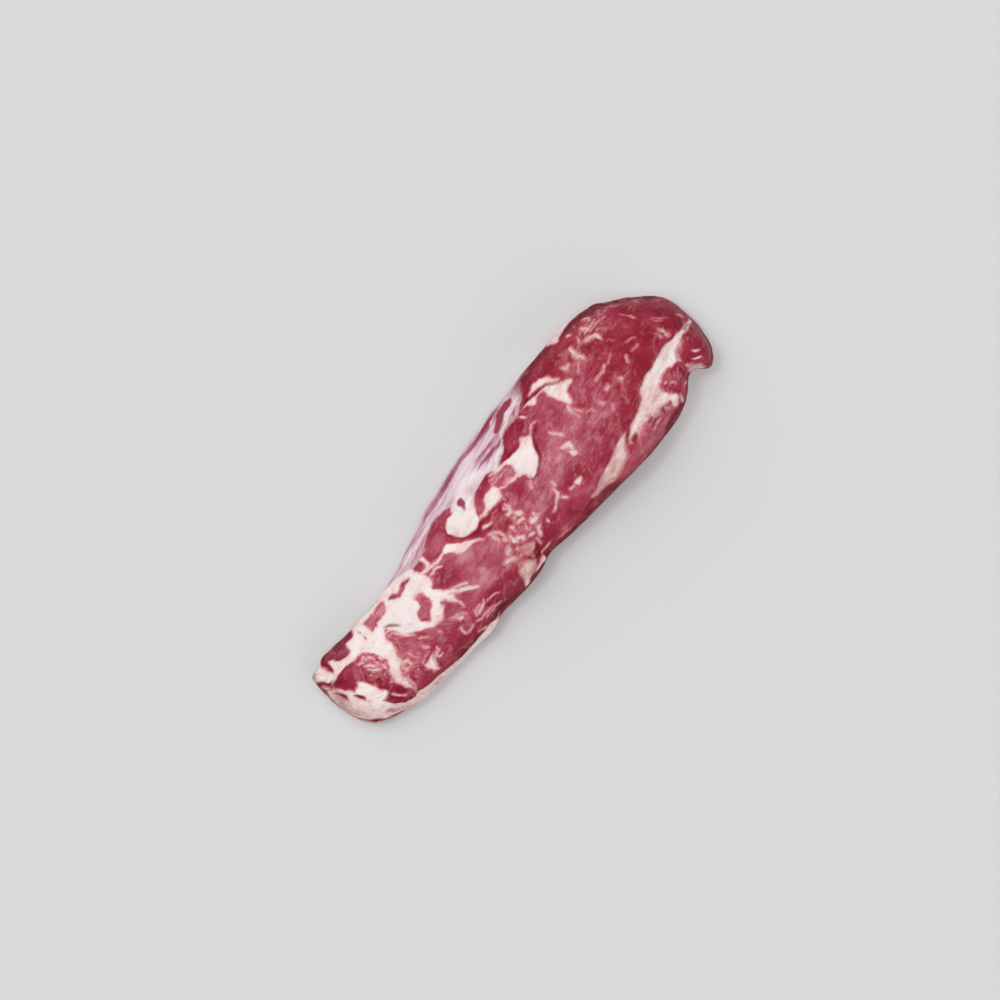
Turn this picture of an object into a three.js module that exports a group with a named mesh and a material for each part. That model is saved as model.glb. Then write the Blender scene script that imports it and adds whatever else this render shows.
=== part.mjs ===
// A raw filet mignon: one whole trimmed pork tenderloin, lying on its flattened underside.
// Millimetres, +Z up. +X runs towards the thick head end, and +Y towards the side under the silverskin.
import * as THREE from "three";
import { ImprovedNoise } from "three/addons/math/ImprovedNoise.js";
import { mergeVertices } from "three/addons/utils/BufferGeometryUtils.js";

const HALF_LENGTH = 124.5;
const RINGS = 102; // cross-sections along the length
const AROUND = 54; // corners of one cross-section
const RING_CROWDING = 0.35; // 0 spaces the rings evenly, 1 crowds them at the ends as on a sphere
const TOP_CROWDING = 0.3; // share by which the corners move up from the underside to the top

// The outline seen from above, as [x, y], before the two ends are rounded off.
const SILVERSKIN_EDGE = [
  [-124, 23], [-120, 23.5], [-116, 23.5], [-112, 25.6], [-106, 24.6], [-98, 23], [-80, 21.5],
  [-62, 23.5], [-48, 27], [-36, 29.5], [-26, 32.5], [-20, 33], [-8, 34.6], [10, 34.8], [30, 36.5],
  [50, 36.6], [70, 35.6], [84, 34.8], [95, 32.2], [100, 31], [106, 26], [114, 18], [120, 10.6], [124, 4],
];
const STRAP_EDGE = [
  [-124, -3.5], [-122, -8.5], [-119, -13], [-114, -17.2], [-106, -21.2], [-95, -24], [-78, -27.1],
  [-62, -28.6], [-52, -29.3], [-46, -28.4], [-40, -27.2], [-34, -28.1], [-20, -29.4], [-11, -28.6],
  [-7, -27.4], [10, -30.2], [35, -32.7], [58, -36.6], [76, -35.3], [90, -32.2], [97, -29], [101, -26],
  [105, -26], [108, -29.2], [110.5, -31.2], [114, -30.2], [118, -26], [121.5, -20], [124, -14],
];
// The top line: [x, y, z].
const CREST = [
  [-124, 6, 15], [-116, 4, 20], [-100, 1, 24.5], [-75, -1, 27.5], [-45, -3, 30.5], [-15, 0, 33],
  [15, 2, 35.5], [45, 3, 38], [75, 3, 39.5], [92, 1, 38], [106, -2, 33.5], [117, -4, 26.5],
  [124, -4, 20],
];

// One cross-section: a superellipse above and below its widest level, cut off flat by the table.
const WIDEST_LEVEL = 0.37; // share of the height
const SILVERSKIN_FULLNESS = 2.05; // superellipse exponent of the +Y side
const STRAP_FULLNESS = 2.4; // and of the -Y side
const UNDERSIDE_FULLNESS = 2.1;
const SINK = 3.5; // how far the underside would bulge below the table

// How each end closes: the place of its tip, and the length over which it rounds off seen from above
// and from the side.
const TAIL_TIP = { y: 8, z: 8, roundAbove: 3, roundBeside: 7 };
const HEAD_TIP = { y: -3, z: 12, roundAbove: 4, roundBeside: 10 };
const END_BLUNTNESS = 2.3; // superellipse exponent

// Relief seen from above. A ledge drops on the right of its line, walking along it.
const LEDGES = [
  { name: "fat layer that shows under the tail muscle", width: 4, drop: 3.4,
    line: [[-113, -8], [-107, -16], [-98, -19.8], [-88, -21.6], [-72, -24.3], [-58, -25.6], [-43, -26.6]] },
  { name: "silverskin side beside the top muscle", width: 7, drop: 2.2,
    line: [[52, 30], [34, 26.5], [20, 22], [6, 20], [-12, 23], [-29, 25.5], [-46, 21]] },
];
const GROOVES = [
  { name: "fat seam along the strap", width: 8, depth: 2.8,
    line: [[24, -26.5], [45, -24.5], [60, -21.5], [75, -18.5], [88, -14], [105, -11.5], [123, -9.5]] },
  { name: "hollow above the strap", width: 9, depth: 1.8,
    line: [[-10, -23], [0, -19.5], [10, -17], [22, -15], [40, -15], [60, -14], [74, -11]] },
  { name: "overlap above the head fat", width: 5, depth: 1.5,
    line: [[31, 24.5], [42, 27], [50, 26.3], [56, 24.3], [60, 20.8], [67, 17.5]] },
  { name: "fold round the fat knob", width: 5, depth: 1.3,
    line: [[-27.5, 21.5], [-29, 16], [-27, 10.5], [-21, 7.6], [-13, 7.6], [-4, 7]] },
  { name: "rim of the round lobe", width: 5.5, depth: 1.3,
    line: [[-34, 12.5], [-26, 8], [-19.5, 3], [-17, -2], [-18, -9], [-22, -15]] },
  { name: "notch by the grey fat tag", width: 5, depth: 2.2,
    line: [[-3, -18.5], [-7, -23], [-7.5, -28]] },
  { name: "crease of the tail corner", width: 5, depth: 1.5,
    line: [[-126, 12.5], [-120, 14.5], [-116, 19], [-115.5, 25]] },
];
const MOUNDS = [
  { name: "round lobe", x: -31, y: -5, rx: 15, ry: 14, height: 2.6 },
  { name: "fat knob", x: -20.5, y: 14.5, rx: 8.5, ry: 7, height: 2.6 },
  { name: "fat tongue", x: 22, y: 9.5, rx: 12, ry: 8, height: 1.8 },
  { name: "head fat", x: 57, y: 17, rx: 8, ry: 7, height: 1.2 },
  { name: "tail fat", x: -66, y: 10, rx: 18, ry: 10, height: 1.8 },
  { name: "tail end muscle", x: -106, y: 8, rx: 12, ry: 8, height: 1.6 },
  { name: "tail fold muscle", x: -88, y: -12, rx: 16, ry: 9, height: 1.8 },
  { name: "head muscle", x: 88, y: 12, rx: 30, ry: 20, height: 2.2 },
  { name: "middle muscle", x: 38, y: 2, rx: 26, ry: 15, height: 2 },
  { name: "strap muscle", x: 58, y: -29, rx: 42, ry: 7, height: 2 },
  { name: "strap end", x: 113, y: -20, rx: 9, ry: 10, height: 3 },
  { name: "grey fat tag", x: -16, y: -23, rx: 8, ry: 5, height: 1.8 },
];

// Lumps of each size over the whole surface, longer along the muscle than across it.
const LUMPS = [
  { size: 34, height: 2.4 },
  { size: 15, height: 1.1 },
  { size: 8, height: 0.5 },
];
const LUMP_STRETCH = 1.5;
const UNDERSIDE_FADE = 9; // height over which ledges fade out above the table

const MEAT = { color: 0xa8485a, roughness: 0.42, metalness: 0 };

// A smooth curve through [x, value, ...] points, read at x.
function throughPoints(points) {
  const size = points[0].length - 1;
  const places = points.map((p) => p[0]);
  const values = points.flatMap((p) => p.slice(1));
  const curve = new THREE.CubicInterpolant(places, values, size);
  return (x) => Array.from(curve.evaluate(THREE.MathUtils.clamp(x, places[0], places.at(-1))));
}

const silverskinEdge = throughPoints(SILVERSKIN_EDGE);
const strapEdge = throughPoints(STRAP_EDGE);
const crest = throughPoints(CREST);
const noise = new ImprovedNoise();

const signedPower = (value, power) => Math.sign(value) * Math.abs(value) ** power;

// Place along X of the ring at share 0 (tail) to 1 (head).
function ringPlace(share) {
  const even = 2 * share - 1;
  const crowded = -Math.cos(Math.PI * share);
  return HALF_LENGTH * THREE.MathUtils.lerp(even, crowded, RING_CROWDING);
}

// 0 at the tip of an end, 1 where its rounding is over.
function endRounding(distance, length) {
  const left = Math.max(0, 1 - distance / length);
  return (1 - left ** END_BLUNTNESS) ** (1 / END_BLUNTNESS);
}

// A point of the smooth body: share is the place along the length, turn the place round the section.
function bodyPoint(share, turn) {
  const x = ringPlace(share);
  const angle = 2 * Math.PI * turn + TOP_CROWDING * Math.cos(2 * Math.PI * turn);
  const across = Math.cos(angle);
  const up = Math.sin(angle);
  const [high] = silverskinEdge(x);
  const [low] = strapEdge(x);
  const [crestY, crestZ] = crest(x);
  const widest = WIDEST_LEVEL * crestZ;

  const topFullness = across > 0 ? SILVERSKIN_FULLNESS : STRAP_FULLNESS;
  const fullness = up > 0 ? topFullness : UNDERSIDE_FULLNESS;
  const reach = across > 0 ? high - crestY : crestY - low;
  const rise = up > 0 ? crestZ - widest : widest + SINK;
  const y = crestY + reach * signedPower(across, 2 / fullness);
  const z = widest + rise * signedPower(up, 2 / fullness);

  const tip = x < 0 ? TAIL_TIP : HEAD_TIP;
  const distance = HALF_LENGTH - Math.abs(x);
  return new THREE.Vector3(
    x,
    THREE.MathUtils.lerp(tip.y, y, endRounding(distance, tip.roundAbove)),
    THREE.MathUtils.lerp(tip.z, z, endRounding(distance, tip.roundBeside)),
  );
}

// The nearest place on a polyline seen from above: how far it is, on which side, and how far along.
function fromLine(line, x, y) {
  let nearest = { distance: Infinity, side: 1, along: 0 };
  for (let i = 0; i + 1 < line.length; i++) {
    const [ax, ay] = line[i];
    const [dx, dy] = [line[i + 1][0] - ax, line[i + 1][1] - ay];
    const t = ((x - ax) * dx + (y - ay) * dy) / (dx * dx + dy * dy);
    const held = THREE.MathUtils.clamp(t, 0, 1);
    const distance = Math.hypot(x - ax - held * dx, y - ay - held * dy);
    if (distance < nearest.distance) {
      const side = Math.sign(dx * (y - ay) - dy * (x - ax)) || 1;
      nearest = { distance, side, along: (i + t) / (line.length - 1) };
    }
  }
  return nearest;
}

// 1 along most of a line, falling to 0 at both its ends.
function fadedEnds(along) {
  return THREE.MathUtils.smoothstep(Math.min(along, 1 - along), 0, 0.18);
}

function ledgeDrop({ line, width, drop }, x, y) {
  const { distance, side, along } = fromLine(line, x, y);
  const below = THREE.MathUtils.smoothstep(-side * distance, -width / 2, width / 2);
  const fadedAway = 1 - THREE.MathUtils.smoothstep(distance, 2 * width, 4 * width);
  return drop * below * fadedAway * fadedEnds(along);
}

function grooveDepth({ line, width, depth }, x, y) {
  const { distance, along } = fromLine(line, x, y);
  return depth * Math.exp(-((2 * distance / width) ** 2)) * fadedEnds(along);
}

function moundHeight({ x: cx, y: cy, rx, ry, height }, x, y) {
  const away = Math.hypot((x - cx) / rx, (y - cy) / ry);
  return away < 1 ? height * (1 - away ** 2) ** 1.5 : 0;
}

function lumpHeight(point) {
  return LUMPS.reduce((sum, { size, height }) => {
    const along = point.x / (size * LUMP_STRETCH);
    return sum + height * noise.noise(along + size, point.y / size, point.z / size);
  }, 0);
}

// The smooth body's point, moved along its normal and down by all the relief there.
function withRelief(point, normal) {
  const { x, y } = point;
  const mounds = MOUNDS.reduce((sum, mound) => sum + moundHeight(mound, x, y), 0);
  const grooves = GROOVES.reduce((sum, groove) => sum + grooveDepth(groove, x, y), 0);
  const ledges = LEDGES.reduce((sum, ledge) => sum + ledgeDrop(ledge, x, y), 0);
  const shownAbove = Math.max(0, normal.z);
  const moved = point.clone().addScaledVector(normal, (mounds - grooves) * shownAbove + lumpHeight(point));
  moved.z -= ledges * THREE.MathUtils.smoothstep(point.z, 0, UNDERSIDE_FADE);
  moved.z = Math.max(0, moved.z);
  return moved;
}

// A unit sphere whose rings are moved onto the body, then raised and lowered by the relief.
function tenderloinGeometry() {
  const sphere = new THREE.SphereGeometry(1, AROUND, RINGS);
  const uv = sphere.getAttribute("uv");
  const position = sphere.getAttribute("position");
  for (let i = 0; i < position.count; i++) {
    const point = bodyPoint(uv.getY(i), uv.getX(i) % 1);
    position.setXYZ(i, point.x, point.y, point.z);
  }
  sphere.deleteAttribute("uv");
  sphere.deleteAttribute("normal");

  const body = mergeVertices(sphere, 1e-3);
  body.computeVertexNormals();
  const places = body.getAttribute("position");
  const normals = body.getAttribute("normal");
  const point = new THREE.Vector3();
  const normal = new THREE.Vector3();
  for (let i = 0; i < places.count; i++) {
    point.fromBufferAttribute(places, i);
    normal.fromBufferAttribute(normals, i);
    const moved = withRelief(point, normal);
    places.setXYZ(i, moved.x, moved.y, moved.z);
  }
  return body;
}

const tenderloin = new THREE.Mesh(tenderloinGeometry(), new THREE.MeshStandardMaterial(MEAT));
tenderloin.name = "tenderloin";

const filetMignon = new THREE.Group();
filetMignon.add(tenderloin);

export default filetMignon;
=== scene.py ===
"""A raw whole pork tenderloin on its underside: deep rose meat, cream fat, lilac-white silverskin."""

import math

import bmesh
import bpy
import numpy as np
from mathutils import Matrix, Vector, noise
from mathutils.bvhtree import BVHTree


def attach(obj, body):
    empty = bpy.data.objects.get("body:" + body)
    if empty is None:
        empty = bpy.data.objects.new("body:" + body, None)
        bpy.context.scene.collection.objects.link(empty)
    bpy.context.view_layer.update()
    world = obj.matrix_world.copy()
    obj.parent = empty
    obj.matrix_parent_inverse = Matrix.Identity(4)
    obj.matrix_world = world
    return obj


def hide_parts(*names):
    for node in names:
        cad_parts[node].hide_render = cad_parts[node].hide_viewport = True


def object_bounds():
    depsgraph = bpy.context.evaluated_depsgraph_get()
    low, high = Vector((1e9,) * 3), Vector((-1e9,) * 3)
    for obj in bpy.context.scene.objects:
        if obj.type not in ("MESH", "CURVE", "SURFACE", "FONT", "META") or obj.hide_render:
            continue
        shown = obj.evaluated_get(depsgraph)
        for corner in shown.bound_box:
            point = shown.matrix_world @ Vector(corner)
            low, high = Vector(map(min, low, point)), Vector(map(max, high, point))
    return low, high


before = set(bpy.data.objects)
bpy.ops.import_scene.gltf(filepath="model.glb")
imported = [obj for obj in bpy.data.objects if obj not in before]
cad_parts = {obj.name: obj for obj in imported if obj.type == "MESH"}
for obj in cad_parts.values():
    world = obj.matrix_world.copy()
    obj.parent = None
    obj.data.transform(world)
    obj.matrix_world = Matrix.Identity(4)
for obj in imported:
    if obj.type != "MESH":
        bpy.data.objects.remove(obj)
CAD_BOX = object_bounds()
MM = 0.001

# The view: straight down. Tissue is placed below by where it is seen from this camera, in
# millimetres in the frame's X and Y, at the level of the outline.
OUTLINE_LEVEL = 14.0
CAMERA_HEIGHT = 1500.0 # above the outline's level
CAMERA_AIM = (-0.5, 6.7)
CAMERA_TURN = math.radians(-51)
FRAME_WIDTH = 471.0 # what the picture spans at the outline's level
SENSOR = 36.0

# Mesh
WELD = 1e-5 # corners closer than this are joined, in metres
JOIN_ANGLE = math.radians(60) # triangles that differ less than this are joined into quads
SUBDIVISIONS = 2

FAR = 8.0 # beyond this depth, in millimetres, how deep a spot lies no longer matters
CORNER_CUT = 0.25 # the share of each side of an outline that is cut off at its corners, to round it
END_FADE = 5.0 # the way over which a fold's ends fade out, in millimetres
END_SHARE = 0.25 # the most that this may be of the fold's length
FOOT = (0.3, 6) # the relief comes in between these heights above the ground, in millimetres
TINY = 1e-9 # stands in for a zero to divide by

noise.seed_set(11) # without it, each run would have its own ragged edges


class Island(list):
    """A closed outline that cuts a patch out of what is painted before it."""


# Tissue. Each patch is a list of points, (x, y) for a closed outline and (x, y, half-width) for a
# stroke. The patches of a set are painted in their order.

TAIL_FAT = [
    [(-128, 28), (-128, -30), (-106, -30), (-95, -28), (-95, -20), (-94, -16.6), (-93.4, -12.6),
     (-93.4, -9.4), (-91.6, -6.8), (-89.2, -5.2), (-87.9, -3.4), (-87.6, -1.4), (-85.8, 0), (-84.9, 2.2),
     (-85.4, 5.2), (-84.8, 7.6), (-83, 9.6), (-81.6, 11), (-80.4, 7.6), (-79.2, 3.8), (-77, 0.8),
     (-74.1, -1.4), (-71.3, -3.2), (-69.2, -4.8), (-66.8, -6.2), (-63.8, -7.6), (-60.4, -7.8),
     (-58.6, -6.2), (-57, -4.6), (-55.6, -4.2), (-56, -1.9), (-54.4, -2.4), (-52.2, -5.2), (-50.7, -8),
     (-50.2, -12), (-49.4, -12.6), (-49, -9), (-49.2, -5), (-48, -4), (-49.9, -0.4), (-51.6, 2.6),
     (-52.8, 5.1), (-51.1, 6.4), (-49.8, 8.7), (-49.8, 11), (-50.8, 13.2), (-51.5, 16.4), (-51.6, 18.2),
     (-52.2, 20), (-55.6, 21.5), (-60, 22.5), (-70, 24), (-90, 25)],
    Island([(-123.4, 19.6), (-121.4, 17.9), (-119, 15.6), (-117.4, 13.4), (-118.4, 11.4), (-120.6, 12.6),
            (-122.4, 15), (-124.4, 18.8)]),
    Island([(-114.7, 23.9), (-112.6, 27), (-92, 27), (-92.4, 22.4), (-93.3, 20), (-95.5, 19.8),
            (-96.9, 20.3), (-99.1, 20.8), (-99.8, 19.6), (-100.1, 17), (-100, 16), (-102, 15.9),
            (-104.7, 16.4), (-106.9, 17.6), (-108.6, 19.5), (-109.9, 21.6), (-111.3, 20.6), (-111.9, 19.6),
            (-111.9, 17), (-113.3, 17), (-113.8, 18.7), (-114.4, 21.4)]),
    Island([(-118.8, 12), (-117.7, 13.2), (-115.2, 12.8), (-112.4, 13.8), (-109.7, 13.1), (-105.8, 12.9),
            (-103.6, 12), (-100.4, 12.3), (-97.8, 11.6), (-96, 10.3), (-93.4, 6.9), (-92.4, 1.8),
            (-93.6, -1.9), (-96.6, -3.2), (-97.6, -6.2), (-98, -9.2), (-96.6, -12.6), (-94.6, -16.6),
            (-95.2, -18.6), (-97.4, -19.6), (-99.7, -19.1), (-102.4, -17.7), (-104.7, -16.3), (-106, -14),
            (-107.6, -11.8), (-107.4, -10.6), (-103.6, -10), (-103.6, -8.5), (-105.4, -5.6),
            (-104.9, -3.1), (-106.6, -0.6), (-106.4, 1.6), (-108, 4.3), (-109.5, 4.8), (-111, 2.9),
            (-113, 2.9), (-114.4, 4.6), (-115.4, 7), (-116.6, 9), (-118, 10.4)]),
    Island([(-86.3, 20.2), (-86.4, 18.5), (-86.2, 16.7), (-87.1, 15.2), (-86.8, 14.2), (-84.6, 14.7),
            (-83.2, 14), (-82, 15), (-80.5, 15), (-78.1, 15), (-75.7, 15.4), (-73.5, 17.5), (-73.1, 19.5),
            (-75.2, 20.1), (-78.3, 19.4), (-80.9, 19.6), (-83.7, 20)]),
    Island([(-61.1, 9.2), (-60.2, 9.1), (-58.2, 7.6), (-57.4, 5.1), (-57.7, 2.1), (-58.7, 0.5),
            (-61.2, -0.4), (-63, -1.7), (-63.5, -3), (-65.3, -3.9), (-67.9, -1.2), (-68, 0.8),
            (-67.2, 2.7), (-65.8, 3.8), (-63.6, 3.6), (-62.2, 4.7), (-61.8, 6.7), (-62.1, 8)]),
    Island([(-70.3, 18), (-68.3, 18.7), (-65.8, 17.6), (-65, 16.4), (-63.3, 17), (-61.7, 18.1),
            (-60, 18.7), (-57.8, 17.8), (-56, 16.4), (-57.2, 15.8), (-59.4, 16.3), (-61.7, 15.5),
            (-64.4, 14.7), (-66.7, 15.2), (-68.1, 16.2)]),
    Island([(-119.6, -11), (-117.6, -12.6), (-115.6, -15), (-117.4, -15.6), (-119.4, -13.2)]),
    Island([(-119.8, 9.7), (-118.4, 8), (-117.9, 5.9), (-118, 3.8), (-118.8, 3.4), (-119.6, 5.2),
            (-120, 7.4)]),
    Island([(-114.9, 2.4), (-113.3, 0.8), (-112.8, -0.9), (-112.7, -3), (-113.8, -2.6), (-114.7, -0.6)]),
    Island([(-111.6, -14.4), (-108.6, -15.8), (-104.6, -18.6), (-105.4, -19.2), (-109, -17.4)]),
    [(-123.2, 18.4, 0.3), (-121.2, 15.2, 0.6), (-119.6, 12.4, 0.4)],
    [(-103, -11.8, 0.4), (-101.3, -14.1, 0.7), (-99.8, -16.4, 0.4)],
    [(-103, 9.8, 0.4), (-101.1, 9.4, 0.6), (-100.6, 7.8, 0.4)],
    [(-98.2, 8.2, 0.4), (-96.7, 7.4, 0.6), (-96.1, 5.9, 0.4)],
    [(-101.8, 6.4, 0.4), (-99.7, 5.7, 0.6), (-98.8, 3.8, 0.5)],
    [(-96.6, 4.8, 0.5), (-96.8, 3, 0.6), (-98.4, 2.1, 0.4)],
    [(-101.3, 4.5, 0.4), (-100.2, 2.2, 0.6), (-97.9, 0.5, 0.5)], [(-93.6, 4, 0.5), (-93.7, 2.4, 0.5)],
    [(-96.1, 1.2, 0.5), (-95.7, -0.4, 0.6), (-96, -2.3, 0.5)], [(-99.7, 9.7, 0.4), (-98.3, 9.8, 0.4)],
    [(-93.9, -8.8, 0.5), (-93, -12.5, 0.6), (-92.7, -16.1, 0.5)],
    [(-98.5, -7.4, 0.6), (-96.5, -12.1, 0.7), (-94.6, -16.9, 0.5)],
    [(-89.7, -6.6, 0.5), (-88.2, -6.1, 0.7), (-86.5, -7.2, 0.7), (-86.8, -9.3, 0.7), (-87.6, -11.2, 0.5)],
    [(-90.7, -7.4, 0.5), (-90.5, -9.6, 0.6), (-88.4, -10.2, 0.5)], [(-96.5, -19, 0.3), (-92.6, -16.4, 0.4)],
]

TAIL_FLECKS = [
    [(-81.8, 9.3, 0.3), (-78.2, 5.6, 0.5), (-75.8, 1.2, 0.6)],
    [(-81, 6.8, 0.2), (-78.6, 2.5, 0.45), (-75.2, -2, 0.45)],
    [(-83.1, -14.6), (-83.9, -16), (-82.5, -19.2), (-79.9, -21.2), (-79, -19.2), (-78.1, -16.6),
     (-77, -14.8), (-76.9, -13.9), (-79.6, -14.4), (-82.3, -14.6)],
    [(-82.6, -13.3, 0.4), (-79.9, -12.7, 0.5), (-76.8, -12.1, 0.4)],
    [(-73.1, -13.9, 0.6), (-73.1, -15, 0.7), (-74.7, -15.2, 0.7), (-76.2, -14.9, 0.6), (-77.3, -15.5, 0.6)],
    [(-76, -15.3, 0.5), (-75.3, -16.9, 0.6), (-73.6, -17.3, 0.5)],
    [(-76.8, -7.9, 0.4), (-77.1, -9.3, 0.6), (-75.5, -10.4, 0.5)],
    [(-84.1, -5.1, 0.4), (-83, -7.4, 0.5), (-82.5, -9.5, 0.4)], [(-75, -4.9, 0.3), (-72.6, -7.2, 0.5)],
    [(-66.4, -9.7, 0.5), (-66.3, -10.8, 0.7)],
    [(-58.6, -17.2, 0.6), (-59.6, -18.4, 0.8), (-59.3, -20, 0.6)],
    [(-59, -21, 0.3), (-56, -20.9, 0.5), (-54.3, -20.5, 0.3)],
    [(-51.8, -20.7, 0.3), (-46.6, -21.2, 0.5), (-39.6, -22.6, 0.3)],
    [(-54.7, -23.9, 0.3), (-50.5, -25.2, 0.4)],
    [(-58.1, -10.5, 0.4), (-55.4, -11.8, 0.6), (-52.2, -14.4, 0.5)],
    [(-56.2, -12.8, 0.7), (-55.6, -14.3, 1), (-54.5, -15, 0.6)],
    [(-41.8, -16.5, 0.5), (-43.7, -18.1, 0.8), (-46.6, -18.4, 0.6), (-49, -18.8, 0.5)],
    [(-44.7, -16.9, 0.4), (-48.6, -16.9, 0.6), (-49.2, -18.6, 0.5)],
    [(-40.9, -18.3, 0.4), (-36.7, -19.2, 0.5), (-34.9, -20.3, 0.3)],
    [(-47, -22.6, 0.3), (-41, -23.2, 0.4), (-37, -24, 0.3)],
    [(-49.6, -1.2, 1.3), (-46.6, -4.6, 1.3), (-43.9, -6.5, 1.3), (-41.1, -9.2, 1.2), (-38.2, -11.3, 0.8)],
    [(-46.7, -2.4, 0.5), (-43.9, -4.2, 0.8), (-41.1, -6.3, 0.6)],
    [(-46, 20.6, 1.4), (-45.1, 17, 1.1), (-45.6, 14, 1), (-48.4, 12.6, 1)],
    [(-51, 13.4, 0.8), (-48, 12.9, 1), (-44, 11.3, 0.8), (-40, 11.3, 0.9), (-37, 11.6, 0.8)],
    [(-38, 12.6), (-33.6, 13.4), (-31.8, 12.8), (-29.7, 10.6), (-28.1, 7.9), (-26.4, 6.9), (-23.2, 4.8),
     (-20.3, 2.5), (-18.6, 0.4), (-19.7, 0.6), (-22.3, 2.4), (-25.1, 3.3), (-27.6, 3.6), (-30, 4.3),
     (-31.9, 5), (-33, 7.2), (-34.2, 9.2), (-36.2, 10.6)],
    [(-48.3, 9.8, 0.5), (-45.6, 10, 0.6), (-41.7, 8.7, 0.7)],
]

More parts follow.
